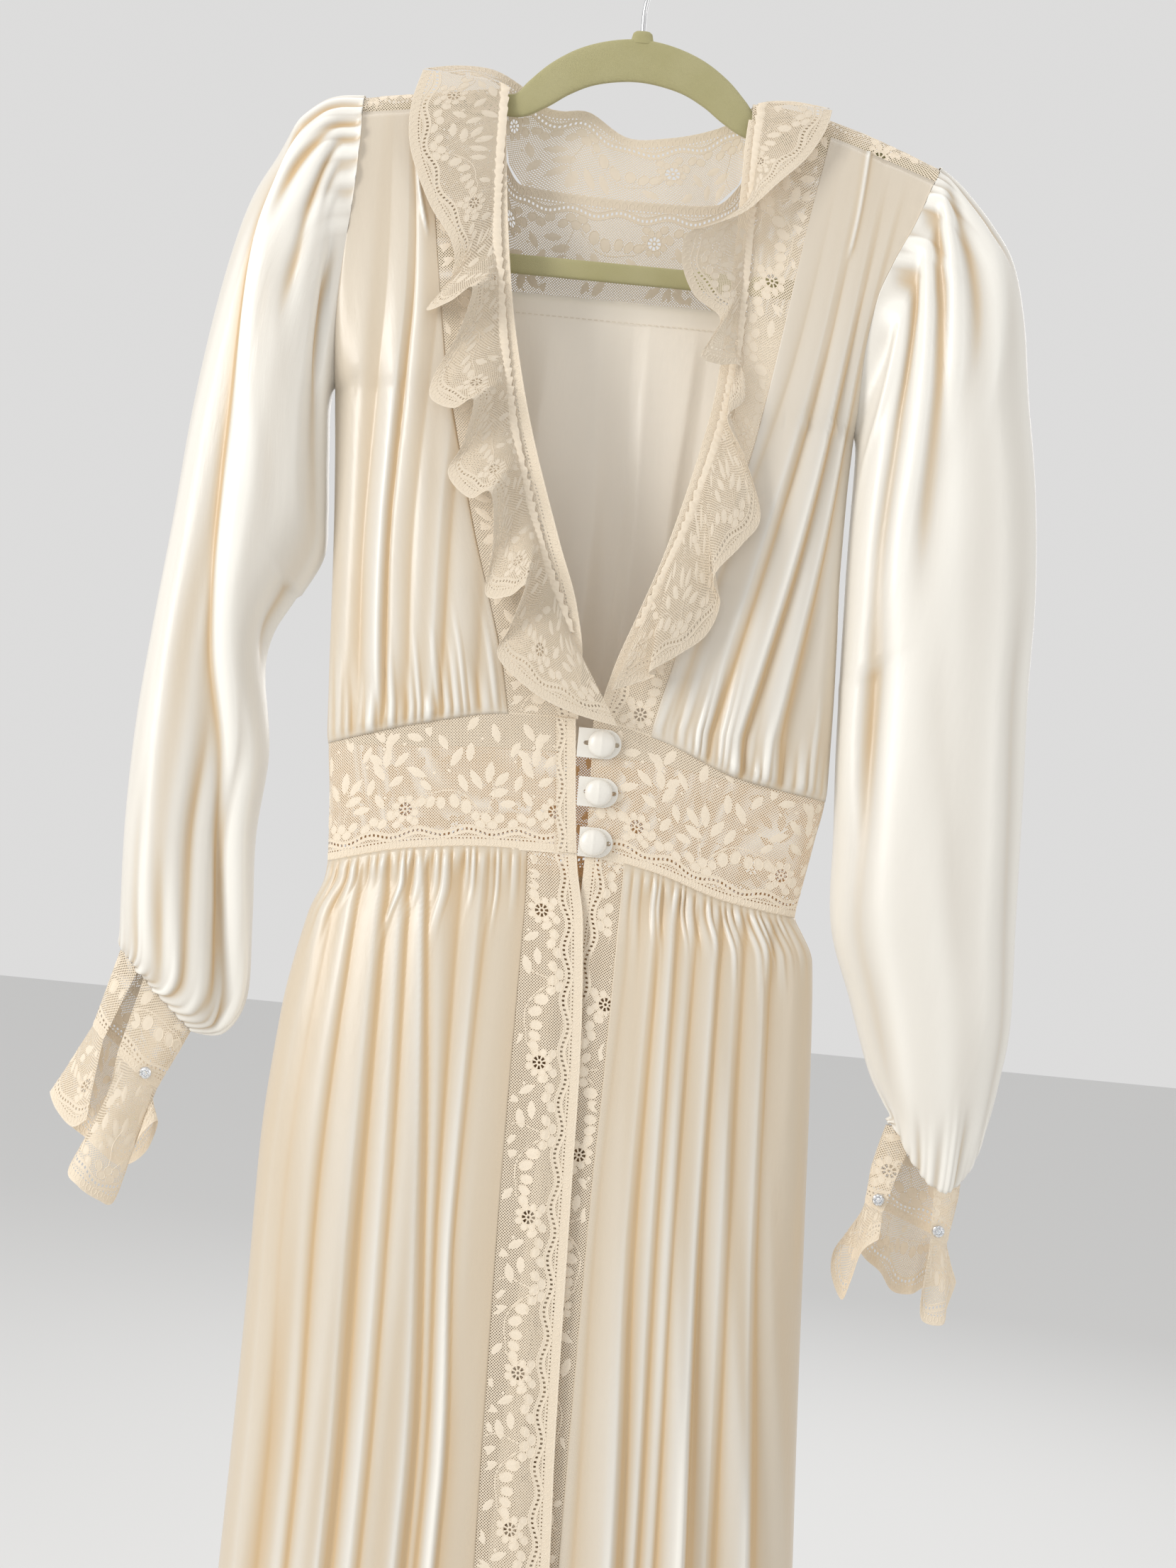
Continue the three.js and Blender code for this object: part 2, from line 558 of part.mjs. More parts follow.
// ---- materials ----
const FINISH = {
  satin: { color: 0xf3ead8, roughness: 0.32, metalness: 0 },
  lace: { color: 0xead6b8, roughness: 0.85, metalness: 0 },
  velvet: { color: 0xa9a86f, roughness: 0.95, metalness: 0 },
  chrome: { color: 0xc9ccd0, roughness: 0.15, metalness: 1 },
  stone: { color: 0xdfe6ee, roughness: 0.05, metalness: 0 },
};

const gown = new THREE.Group();

function add(name, geometry, finish, place = null) {
  const mesh = new THREE.Mesh(geometry, new THREE.MeshStandardMaterial(FINISH[finish]));
  mesh.name = name;
  if (place) mesh.position.set(place.x, place.y, place.z);
  gown.add(mesh);
  return mesh;
}

// ---- the body's surface ----
const ridge = track(SHOULDER, "x", "z");
const sides = { left: track(BODY_SIDES, "z", "left"), right: track(BODY_SIDES, "z", "right") };
// a seam's half gap stands across the armhole, and between front and back below it
const sideEdge = (side) => (z) =>
  sides[side](z) - outward[side] * HALF_SEAM * ease(ARMHOLE.bottom - SIDE_TURN, ARMHOLE.bottom + SIDE_TURN, z);
const bodyDepth = { front: track(BODY_DEPTH, "drop", "front"), back: track(BODY_DEPTH, "drop", "back") };
const facing = { front: -1, back: 1 };
const outward = { left: -1, right: 1 };

function armholeDepth(side, face, z) {
  const top = ridge(sides[side](ARMHOLE.bottom / 2));
  const middle = (top + ARMHOLE.bottom) / 2;
  const share = (z - middle) / (top - middle);
  if (Math.abs(share) >= 1) return HALF_SEAM;
  return HALF_SEAM + ARMHOLE[face] * Math.sqrt(1 - share * share);
}

// Half depth of a flattened round section, from nothing at its side to all of it in the middle.
function sectionShape(x, left, right) {
  const middle = (left + right) / 2;
  const share = Math.min(Math.abs(x - middle) / ((right - left) / 2), 1);
  return (1 - share ** ROUNDING) ** (1 / ROUNDING);
}

function bodyY(face, x, z) {
  const left = sides.left(z);
  const right = sides.right(z);
  const side = x < (left + right) / 2 ? "left" : "right";
  const edge = armholeDepth(side, face, z);
  const depth = bodyDepth[face](ridge(x) - z);
  return facing[face] * mix(edge, Math.max(depth, HALF_SEAM), sectionShape(x, left, right));
}

const skirt = {
  left: track(SKIRT, "z", "left"),
  right: track(SKIRT, "z", "right"),
  front: track(SKIRT, "z", "front"),
  back: track(SKIRT, "z", "back"),
};

function skirtY(face, x, z) {
  const shape = sectionShape(x, skirt.left(z), skirt.right(z));
  return facing[face] * (HALF_SEAM + (skirt[face](z) - HALF_SEAM) * shape);
}

// Places a point at an equal share of the cloth's own width along a level section.
const FINE_STEPS = 90;
const SETTLING = 4; // rounds in which a slanting seam's height and place settle on each other
function alongSection(surfaceY, from, to, z, share) {
  const xs = [];
  const lengths = [0];
  for (let i = 0; i <= FINE_STEPS; i += 1) xs.push(mix(from, to, (1 - Math.cos((Math.PI * i) / FINE_STEPS)) / 2));
  for (let i = 1; i <= FINE_STEPS; i += 1) {
    const rise = surfaceY(xs[i], z) - surfaceY(xs[i - 1], z);
    lengths.push(lengths[i - 1] + Math.hypot(xs[i] - xs[i - 1], rise));
  }
  const wanted = share * lengths[FINE_STEPS];
  let i = 0;
  while (i < FINE_STEPS - 1 && lengths[i + 1] < wanted) i += 1;
  return mix(xs[i], xs[i + 1], (wanted - lengths[i]) / (lengths[i + 1] - lengths[i]));
}

// Points of a panel that hangs between two edges and two seams, with its folds raised from the body's surface.
function panelPoint(panel) {
  const { surfaceY, from, to, top, bottom, relief, spread } = panel;
  const seamLevel = (seam, across) => {
    let z = seam((from(seam(0)) + to(seam(0))) / 2);
    for (let i = 0; i < SETTLING; i += 1) z = seam(alongSection(surfaceY, from(z), to(z), z, across));
    return z;
  };
  return (across, down) => {
    const share = spread ? spread(down) : down;
    const z = mix(seamLevel(top, across), seamLevel(bottom, across), share);
    const x = alongSection(surfaceY, from(z), to(z), z, across);
    const y = surfaceY(x, z);
    const step = 0.4;
    const left = Math.max(x - step, Math.min(from(z), to(z)));
    const right = Math.min(x + step, Math.max(from(z), to(z)));
    const slope = (surfaceY(right, z) - surfaceY(left, z)) / (right - left);
    const face = Math.sign(y) || -1;
    const normal = new THREE.Vector3(-slope * face, face, 0).normalize();
    const height = relief ? relief(x, z, across, share) : 0;
    const point = new THREE.Vector3(x, y, z).addScaledVector(normal, height);
    point.plainNormal = normal; // seams keep square to the body's surface, so their two walls stay apart
    return point;
  };
}

const gather = (across, count) => -Math.cos(2 * Math.PI * count * across);

function folds(table, x, share) {
  let height = 0;
  for (const fold of table) {
    const distance = x - mix(fold.top, fold.bottom, share);
    const flank = distance < 0 ? fold.left : fold.right;
    height += fold.height * Math.exp(-((distance / flank) ** 2));
  }
  return height;
}

// ---- the bodice ----
const neck = { left: track(NECKLINE, "z", "left"), right: track(NECKLINE, "z", "right") };
const frontBand = { left: track(NECKLINE, "z", "bandLeft"), right: track(NECKLINE, "z", "bandRight") };
const waist = {
  frontTop: track(WAISTBAND, "x", "frontTop"),
  frontBottom: track(WAISTBAND, "x", "frontBottom"),
  backTop: track(WAISTBAND, "x", "backTop"),
  backBottom: track(WAISTBAND, "x", "backBottom"),
};
const BODICE_GATHER = { height: 1.3, fade: 0.72 };
const BODICE_ROWS = 12;
const bodiceSpread = (down) => 1 - (1 - down) ** 1.15;
const bodiceTable = { left: BODICE_FOLDS_LEFT, right: BODICE_FOLDS_RIGHT, back: BODICE_FOLDS_BACK };

function bodiceRelief(table, count) {
  return (x, z, across, down) => {
    const edge = Math.sin(Math.PI * Math.min(Math.max(across, 0), 1)) ** 0.5;
    const gathered = BODICE_GATHER.height * ease(BODICE_GATHER.fade, 1, down) * gather(across, count);
    const soft = folds(table, x, down) * (0.35 + 0.65 * Math.sin(Math.PI * Math.min(down + 0.12, 1)));
    return edge * (gathered + soft * ease(0, 0.2, down));
  };
}

for (const side of ["left", "right"]) {
  const away = outward[side];
  const seamEdge = (z) => frontBand[side](z) + away * HALF_SEAM;
  const satinFront = {
    surfaceY: (x, z) => bodyY("front", x, z),
    from: seamEdge,
    to: sideEdge(side),
    top: (x) => ridge(x) - SHOULDER_TURN - SEAM,
    bottom: (x) => waist.frontTop(x) + HALF_SEAM,
    relief: bodiceRelief(bodiceTable[side], 8),
    spread: bodiceSpread,
  };
  add(`bodice_front_${side}`, wall(panelPoint(satinFront), 16, BODICE_ROWS, SATIN), "satin");

  const lapLift = side === "left" ? LAP.lift : 0;
  const band = {
    surfaceY: (x, z) => bodyY("front", x, z),
    from: neck[side],
    to: (z) => frontBand[side](z) - away * HALF_SEAM,
    top: (x) => ridge(x) - SHOULDER_TURN - SEAM,
    bottom: (x) => waist.frontTop(x) + HALF_SEAM,
    relief: (x, z, across) => lapLift * ease(-430, -530, z) * (1 - across),
    spread: bodiceSpread,
  };
  add(`front_band_${side}`, wall(panelPoint(band), 3, BODICE_ROWS, LACE), "lace");

  // the strip over the shoulder, from the front's top seam across the ridge to the yoke's
  const inner = side === "left" ? -87 : 78;
  const strip = (across, along) => {
    const turn = Math.PI * (across - 0.5);
    const level = ridge(sides[side](ARMHOLE.bottom / 2)) - SHOULDER_TURN * (1 - Math.cos(turn));
    const x = mix(inner, sides[side](level) - away * SEAM, along);
    const foot = ridge(x) - SHOULDER_TURN;
    const face = turn < 0 ? "front" : "back";
    const halfDepth = Math.abs(bodyY(face, x, foot));
    return new THREE.Vector3(x, halfDepth * Math.sin(turn), foot + SHOULDER_TURN * Math.cos(turn));
  };
  add(`shoulder_strip_${side}`, wall(strip, 6, 6, LACE), "lace");
}

const backBodice = {
  surfaceY: (x, z) => bodyY("back", x, z),
  from: sideEdge("left"),
  to: sideEdge("right"),
  top: () => YOKE_Z - HALF_SEAM,
  bottom: (x) => waist.backTop(x) + HALF_SEAM,
  relief: bodiceRelief(bodiceTable.back, 13),
  spread: bodiceSpread,
};
add("bodice_back", wall(panelPoint(backBodice), 26, 8, SATIN), "satin");

// ---- the back yoke, cut out for the neck ----
const yokeCut = track(YOKE_TOP, "x", "z");
function yokeTop(x) {
  const shoulder = ridge(x) - SHOULDER_TURN - 2 * SEAM;
  const inside = x > YOKE_TOP[0].x && x < YOKE_TOP[YOKE_TOP.length - 1].x;
  return inside ? Math.min(yokeCut(x), shoulder) : shoulder;
}
const YOKE_COLUMNS = [-180.8, -150, -120, -94, -88, -83, -72, -40, 0, 40, 60, 75, 82, 88, 118, 150, 180, 205];
const YOKE_NECK = 92; // beyond this the columns of the yoke lean with the armholes
function yokePoint(across, down) {
  const column = YOKE_COLUMNS[Math.round(across * (YOKE_COLUMNS.length - 1))];
  const z = mix(yokeTop(column), YOKE_Z + HALF_SEAM, down);
  const side = column < 0 ? "left" : "right";
  const away = outward[side];
  const outermost = Math.abs(column < 0 ? YOKE_COLUMNS[0] : YOKE_COLUMNS[YOKE_COLUMNS.length - 1]);
  const share = Math.max(0, (Math.abs(column) - YOKE_NECK) / (outermost - YOKE_NECK));
  const edge = sides[side](z) - away * HALF_SEAM;
  const x = share > 0 ? mix(away * YOKE_NECK, edge, share) : column;
  return new THREE.Vector3(x, bodyY("back", x, z), z);
}
add("back_yoke", wall(yokePoint, YOKE_COLUMNS.length - 1, 3, LACE), "lace");

// ---- collar and ruffles ----
const collarCurve = {};
for (const column of ["x", "y", "z"]) collarCurve[column] = swing(COLLAR, column);
for (const column of ["seamX", "seamY", "seamZ"]) collarCurve[column] = straight(COLLAR, column);
function collarPoint(along, out) {
  const c = collarCurve;
  const x = mix(c.seamX(along), c.x(along), out);
  const y = mix(c.seamY(along), c.y(along), out);
  const z = mix(c.seamZ(along), c.z(along), out);
  return new THREE.Vector3(x, y, z);
}
add("collar_back", wall(collarPoint, 28, 2, LACE), "lace");

const ruffleSeam = { left: track(RUFFLE_SEAM, "z", "left"), right: track(RUFFLE_SEAM, "z", "right") };
const RUFFLE_PUFF = 3;
for (const [side, table] of [["left", RUFFLE_LEFT], ["right", RUFFLE_RIGHT]]) {
  const seamZ = swing(table, "seam");
  const edgeX = swing(table, "x");
  const edgeZ = swing(table, "z");
  const lift = swing(table, "lift");
  const ruffle = (along, out) => {
    const z = seamZ(along);
    const x = ruffleSeam[side](z);
    const lapLift = side === "left" ? LAP.lift * ease(-430, -530, z) : 0;
    const foot = bodyY("front", x, z) - LAY - lapLift - 0.4;
    const puff = RUFFLE_PUFF * Math.sin(Math.PI * out);
    const y = foot - lift(along) * out - puff;
    return new THREE.Vector3(mix(x, edgeX(along), out), y, mix(z, edgeZ(along), out));
  };
  add(`ruffle_${side}`, wall(ruffle, 2 * (table.length - 1), 3, LACE), "lace");
}

// ---- the waistband ----
const closure = {
  left: track(CLOSURE, "z", "left"),
  right: track(CLOSURE, "z", "right"),
  bandLeft: track(CLOSURE, "z", "bandLeft"),
  bandRight: track(CLOSURE, "z", "bandRight"),
};
for (const side of ["left", "right"]) {
  const band = {
    surfaceY: (x, z) => bodyY("front", x, z),
    from: closure[side],
    to: sideEdge(side),
    top: (x) => waist.frontTop(x) - HALF_SEAM,
    bottom: (x) => waist.frontBottom(x) + HALF_SEAM,
    relief: (x, z, across) => (side === "left" ? LAP.lift * (1 - ease(0, 0.3, across)) : 0),
  };
  add(`waistband_front_${side}`, wall(panelPoint(band), 11, 3, LACE), "lace");
}
const waistBack = {
  surfaceY: (x, z) => bodyY("back", x, z),
  from: sideEdge("left"),
  to: sideEdge("right"),
  top: (x) => waist.backTop(x) - HALF_SEAM,
  bottom: (x) => waist.backBottom(x) + HALF_SEAM,
};
add("waistband_back", wall(panelPoint(waistBack), 20, 2, LACE), "lace");

// ---- the skirt ----
const SKIRT_GATHER = { height: 1.5, fade: 0.2 };
const skirtSpread = (down) => 0.28 * down + 0.72 * down ** 2.1;
const skirtFoldTable = { left: SKIRT_FOLDS_LEFT, right: SKIRT_FOLDS_RIGHT, back: SKIRT_FOLDS_BACK };
const skirtGathers = { left: 12, right: 12, back: 19 };

function skirtRelief(part) {
  return (x, z, across, down) => {
    const level = (z - SKIRT_FOLD_TOP) / (SKIRT_FOLD_LEVEL - SKIRT_FOLD_TOP);
    const place = level > 0 ? level ** 1.15 : 0;
    const growth = 0.16 + 0.84 * ease(-0.1, 1.1, level);
    const gathered = SKIRT_GATHER.height * (1 - ease(0.02, SKIRT_GATHER.fade, down));
    const edge = Math.sin(Math.PI * Math.min(Math.max(across, 0), 1)) ** 0.5;
    const soft = folds(skirtFoldTable[part], x, place) * growth;
    return edge * (gathered * gather(across, skirtGathers[part]) + soft);
  };
}

// The right front passes behind the left one.
const sunk = (x, z) => LAP.sink * ease(LAP.start, LAP.full, z) * (1 - ease(LAP.reach, LAP.reach + 30, x));

for (const side of ["left", "right"]) {
  const away = outward[side];
  const bandEdge = side === "left" ? closure.bandLeft : closure.bandRight;
  const sink = side === "right" ? sunk : () => 0;
  const surfaceY = (x, z) => skirtY("front", x, z);
  const top = (x) => waist.frontBottom(x) - HALF_SEAM;
  const relief = skirtRelief(side);
  const panel = {
    surfaceY,
    from: (z) => bandEdge(z) + away * HALF_SEAM,
    to: skirt[side],
    top,
    bottom: () => HEM_Z,
    relief: (x, z, across, down) => relief(x, z, across, down) - sink(x, z),
    spread: skirtSpread,
  };
  add(`skirt_front_${side}`, wall(panelPoint(panel), 24, 11, SATIN), "satin");

  const lift = side === "left" ? LAP.lift : 0;
  const band = {
    surfaceY,
    from: closure[side],
    to: (z) => bandEdge(z) - away * HALF_SEAM,
    top,
    bottom: () => HEM_Z,
    relief: (x, z, across) => lift * (1 - across) - sink(x, z),
    spread: skirtSpread,
  };
  add(`skirt_band_${side}`, wall(panelPoint(band), 3, 12, LACE), "lace");
}
const skirtBack = {
  surfaceY: (x, z) => skirtY("back", x, z),
  from: skirt.left,
  to: skirt.right,
  top: (x) => waist.backBottom(x) - HALF_SEAM,
  bottom: () => HEM_Z,
  relief: skirtRelief("back"),
  spread: skirtSpread,
};
add("skirt_back", wall(panelPoint(skirtBack), 38, 10, SATIN), "satin");

// ---- sleeves ----
function ringPoint(row, angle) {
  const reach = Math.cos(angle);
  const turn = Math.sin(angle);
  const depth = turn > 0 ? row.front : row.back;
  const x = (row.outX + row.inX) / 2 + (reach * (row.outX - row.inX)) / 2;
  const lean = Math.max(0, Math.sin(angle + radians(DROOP_TURN))) ** 1.5;
  const z = (row.outZ + row.inZ) / 2 + (reach * (row.outZ - row.inZ)) / 2 - (row.droop || 0) * lean;
  return new THREE.Vector3(x, -turn * depth, z);
}

const SLEEVE_STEPS = 16;
const sleeveParts = [["left", SLEEVE_LEFT, SLEEVE_FOLDS_LEFT], ["right", SLEEVE_RIGHT, SLEEVE_FOLDS_RIGHT]];
for (const [side, table, foldTable] of sleeveParts) {
  const away = outward[side];
  const armholeTop = table[0].outZ;
  const seamPoint = (angle) => {
    const middle = (armholeTop + ARMHOLE.bottom) / 2;
    const z = middle + Math.cos(angle) * (armholeTop - middle);
    const face = Math.sin(angle) > 0 ? "front" : "back";
    const y = facing[face] * armholeDepth(side, face, z);
    return new THREE.Vector3(sides[side](z) + away * ARMHOLE.gap[side], y, z);
  };
  const sleeve = (around, along) => {
    const angle = around * 2 * Math.PI;
    const ring = Math.round(along * SLEEVE_STEPS);
    if (ring === 0) return seamPoint(angle);
    const base = ringPoint(table[ring], angle);
    const centre = new THREE.Vector3((table[ring].outX + table[ring].inX) / 2, 0, base.z);
    const normal = base.clone().sub(centre);
    normal.y *= 1.6;
    normal.z = 0;
    normal.normalize();
    const degrees = around * 360;
    let height = 0;
    for (const fold of foldTable) {
      const distance = (degrees - mix(fold.head, fold.wrist, along)) / fold.width;
      height += fold.height * Math.exp(-(distance * distance));
    }
    const window = ease(0.02, 0.3, along) * (1 - ease(0.78, 0.95, along));
    const head = (1 - ease(0.06, 0.3, along)) * Math.max(0, Math.cos(angle)) ** 0.5 * 1.6;
    const wrist = ease(0.84, 0.94, along) * 1.4;
    const free = along < 0.5 ? 1 - 0.9 * Math.max(0, -Math.cos(angle)) ** 3 : 1;
    const relief = height * window * free + (head + wrist) * gather(around, SLEEVE_GATHERS);
    return base.addScaledVector(normal, relief);
  };
  add(`sleeve_${side}`, wall(sleeve, 2 * SLEEVE_GATHERS, SLEEVE_STEPS, SATIN, true), "satin");
}

// ---- cuffs and their flounces ----
const FLOUNCE_PUFF = 2;
for (const [side, cuff, edge] of [["left", CUFF_LEFT, FLOUNCE_LEFT], ["right", CUFF_RIGHT, FLOUNCE_RIGHT]]) {
  const steps = cuff.rings.length - 1;
  const split = cuff.split;
  const turnAt = (across, down) => {
    const half = mix(split.top, split.bottom, down);
    return radians(mix(split.middle + half, split.middle + 360 - half, across));
  };
  const cuffPoint = (across, down) => {
    const place = Math.min(down * steps, steps);
    return ringPoint(cuff.rings[Math.round(place)], turnAt(across, down));
  };
  add(`cuff_${side}`, wall(cuffPoint, 18, steps, LACE), "lace");

  const edgeX = swing(edge, "x");
  const edgeY = swing(edge, "y");
  const edgeZ = swing(edge, "z");
  const flounce = (across, down) => {
    const seam = ringPoint(cuff.rings[steps], turnAt(across, 1));
    const tip = new THREE.Vector3(edgeX(across), edgeY(across), edgeZ(across));
    const start = seam.clone().addScaledVector(tip.clone().sub(seam).normalize(), 3 * SEAM);
    const point = start.lerp(tip, down);
    point.y += FLOUNCE_PUFF * Math.sin(Math.PI * down) * Math.sign(point.y || -1);
    return point;
  };
  add(`flounce_${side}`, wall(flounce, 2 * (edge.length - 1), 2, LACE), "lace");
}

// ---- buttons, loops and studs ----
const towardFront = radians(90);
for (const button of BUTTONS) {
  const face = bodyY("front", button.x, button.z) - LACE / 2 - SEAM;
  const profile = [
    new THREE.Vector2(0, 0),
    new THREE.Vector2(BUTTON.shank, 0),
    new THREE.Vector2(BUTTON.shank, BUTTON.stand),
    new THREE.Vector2(BUTTON.radius - 1, BUTTON.stand),
    new THREE.Vector2(BUTTON.radius, BUTTON.stand + BUTTON.rim),
    new THREE.Vector2(BUTTON.radius * 0.72, BUTTON.stand + BUTTON.rim + BUTTON.crown * 0.68),
    new THREE.Vector2(BUTTON.radius * 0.36, BUTTON.stand + BUTTON.rim + BUTTON.crown * 0.94),
    new THREE.Vector2(0, BUTTON.stand + BUTTON.rim + BUTTON.crown),
  ];
  const geometry = new THREE.LatheGeometry(profile, 12).rotateX(Math.PI);
  add(button.name, geometry, "satin", { x: button.x, y: face, z: button.z });

  const halfSlot = LOOP.halfHeight - LOOP.strand;
  const start = closure.left(button.z - LOOP.halfHeight) + SEAM;
  const end = button.x + LOOP.past - LOOP.halfHeight;
  const outline = new THREE.Shape();
  outline.moveTo(start, -LOOP.halfHeight);
  outline.lineTo(end, -LOOP.halfHeight);
  outline.absarc(end, 0, LOOP.halfHeight, -Math.PI / 2, Math.PI / 2, false);
  outline.lineTo(start, LOOP.halfHeight);
  outline.closePath();
  const slot = new THREE.Path();
  slot.absarc(button.x, 0, halfSlot + 0.2, -Math.PI / 2, Math.PI / 2, false);
  slot.absarc(start + LOOP.strand, 0, halfSlot * 0.5, Math.PI / 2, (3 * Math.PI) / 2, false);
  outline.holes.push(slot);
  const settings = { depth: LOOP.thickness, bevelEnabled: false, curveSegments: 6 };
  const loop = new THREE.ExtrudeGeometry(outline, settings).rotateX(towardFront);
  add(button.name.replace("button", "loop"), loop, "satin", { x: 0, y: face, z: button.z });
}

for (const stud of STUDS) {
  const profile = [
    new THREE.Vector2(0, 0),
    new THREE.Vector2(STUD.radius * 0.8, 0),
    new THREE.Vector2(STUD.radius, STUD.depth * 0.4),
    new THREE.Vector2(STUD.radius * 0.55, STUD.depth),
    new THREE.Vector2(0, STUD.depth),
  ];
  const ring = stud.cuff.rings[stud.cuff.rings.length - 1];
  const share = (stud.x - (ring.outX + ring.inX) / 2) / ((ring.outX - ring.inX) / 2);
  const face = -ring.front * Math.sqrt(1 - share * share) - stud.stand;
  const place = { x: stud.x, y: face, z: stud.z };
  add(stud.name, new THREE.LatheGeometry(profile, 8).rotateX(Math.PI), "stone", place);
}

// ---- hanger ----
const middle = [...HANGER_LINE, ...[...HANGER_LINE].reverse().map((row) => ({ ...row, x: -row.x })).slice(0, -1)];
function frameEdge(sign) {
  return middle.map((row, i) => {
    const before = middle[(i + middle.length - 1) % middle.length];
    const after = middle[(i + 1) % middle.length];
    const along = new THREE.Vector2(after.x - before.x, after.z - before.z).normalize();
    return new THREE.Vector2(row.x - along.y * row.half * sign, row.z + along.x * row.half * sign);
  });
}
const frame = new THREE.Shape(frameEdge(1));
frame.holes.push(new THREE.Path(frameEdge(-1).reverse()));
const hangerSettings = { depth: HANGER_THICKNESS, bevelEnabled: false };
const hanger = new THREE.ExtrudeGeometry(frame, hangerSettings).rotateX(towardFront);
hanger.translate(0, HANGER_THICKNESS / 2, 0);
add("hanger_body", hanger, "velvet");

const HOOK_PATH = [
  { x: 0, z: HOOK.shankFoot },
  { x: 0, z: -64 },
  { x: 3.5, z: -50 },
  { x: 12.5, z: -37 },
  { x: 18.6, z: -26.5 },
];
const hookPoints = HOOK_PATH.map((row) => new THREE.Vector3(row.x, 0, row.z));
const bendZ = HOOK.wire - HOOK.bend;
for (let degrees = 0; degrees <= 200; degrees += 20) {
  const turn = radians(degrees);
  hookPoints.push(new THREE.Vector3(HOOK.bend * Math.cos(turn), 0, bendZ + HOOK.bend * Math.sin(turn)));
}
const section = new THREE.Shape();
section.absarc(0, 0, HOOK.wire, 0, 2 * Math.PI, false);
const hookSettings = {
  steps: 26,
  bevelEnabled: false,
  curveSegments: HOOK.sides,
  extrudePath: new THREE.CatmullRomCurve3(hookPoints),
};
add("hanger_hook", new THREE.ExtrudeGeometry(section, hookSettings), "chrome");

export default gown;
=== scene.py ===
"""A satin dressing gown with lace trim on a velvet clothes hanger: its looks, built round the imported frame.

Sizes are in millimetres until a mesh is made. +Z is up, the front faces -Y, left and right are as seen
from the front, and the origin is the inside top of the hook. The cloth's surfaces follow the same named
sizes as the solids.
"""
import math

import bpy
import numpy as np
from mathutils import Matrix, Vector


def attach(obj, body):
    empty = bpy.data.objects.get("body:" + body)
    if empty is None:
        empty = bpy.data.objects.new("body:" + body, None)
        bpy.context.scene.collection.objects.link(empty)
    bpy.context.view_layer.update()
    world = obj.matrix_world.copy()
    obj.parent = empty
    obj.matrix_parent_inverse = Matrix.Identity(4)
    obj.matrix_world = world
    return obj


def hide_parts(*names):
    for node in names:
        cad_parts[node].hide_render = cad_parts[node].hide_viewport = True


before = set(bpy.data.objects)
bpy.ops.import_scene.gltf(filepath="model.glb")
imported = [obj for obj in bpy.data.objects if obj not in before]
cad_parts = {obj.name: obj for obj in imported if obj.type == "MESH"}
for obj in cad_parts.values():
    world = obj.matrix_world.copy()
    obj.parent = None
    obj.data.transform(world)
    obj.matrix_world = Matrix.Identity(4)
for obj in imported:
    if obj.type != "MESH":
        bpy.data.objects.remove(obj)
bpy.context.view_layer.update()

MM = 0.001
# heights of the skirt's hem and of the back yoke's lower edge
HEM_Z = -1460
YOKE_Z = -257
# radius at which the shoulder strips turn over the hanger
SHOULDER_TURN = 12
# half the gap between front and back at a seam, and how square the gown's level sections are
HALF_SEAM = 0.15
ROUNDING = 2.4
ARMHOLE = {"bottom": -336, "front": 24, "back": 19}
# the left front lies over the right one, which sinks under it below the waist
LAP = {
    "lift": 1.5, "lift_start": -430, "lift_full": -530,
    "sink": 3.5, "start": -640, "full": -690, "reach": 46, "fade": 30,
}
SATIN_THICKNESS = 0.5
# how the relief of the satin turns into painted light: painted warm shade in valleys and on sides turned from
# the light, painted highlight on ridges and on sides turned to it
HOLLOW = {"reach": 10, "depth": 1.8, "lift": 0.15}
SIDE_SHADE = {"away": 0.95, "toward": 0.5, "steepest": 0.6}
FACING = {"front": -1, "back": 1}


# ---- tables: a row for each section, ring or fold ----
def rows(names, *values):
    return [dict(zip(names.split(), row)) for row in values]


# ridge of the shoulders: height of the cloth's top along the hanger
SHOULDER = rows(
    "x z",
    (-212, -150), (-181, -142), (-154, -137), (-120, -131.5), (-88, -126.5), (0, -122), (82, -121),
    (100, -122), (132, -127.5), (170, -139), (207, -153.3), (220, -159),
)

# outer edges of the body: the armhole seams above the underarm, the side seams below it
BODY_SIDES = rows(
    "z left right",
    (-120, -181, 208), (-154, -181, 206), (-173, -180, 200), (-196, -180, 192), (-223, -181, 180),
    (-250, -183, 171), (-290, -184.5, 166.4), (-336, -182.5, 166), (-379, -178.5, 165),
    (-427, -174.5, 165.5), (-480, -171, 168.5), (-530, -168, 170.5), (-580, -164, 171),
    (-610, -160.5, 166.5), (-660, -157, 158),
)

# half depths of the body, by the drop below the shoulder's ridge
BODY_DEPTH = rows(
    "drop front back",
    (0, 4.2, 4.2), (12, 6, 5.6), (60, 16, 13), (110, 26, 19), (160, 32, 24), (210, 36, 27), (310, 38, 29),
    (380, 36, 28), (430, 32, 26), (560, 31, 26),
)

# front edges of the bodice, and where its lace bands meet the satin
NECKLINE = rows(
    "z left right bandLeft bandRight",
    (-120, -87, 77, -140, 135), (-150, -85, 75, -136, 130), (-204, -79, 74.5, -128, 121),
    (-276, -68, 73, -116, 111), (-324, -57, 70, -107, 104), (-359, -47, 64, -98, 98),
    (-430, -22, 47, -78, 80), (-470, -7, 34, -65, 68), (-505, 0, 22, -54, 59), (-545, 1, 12, -45, 50),
)

# the lace waistband, arched up at the front and nearly level at the back
WAISTBAND = rows(
    "x frontTop frontBottom backTop backBottom",
    (-166, -576, -656, -576, -656), (-100, -556, -639, -572, -652), (-45, -545, -633, -568, -649),
    (10, -544, -632, -567, -648), (56, -553, -639, -569, -650), (110, -573, -655, -576, -656),
    (172, -583, -664, -583, -664),
)

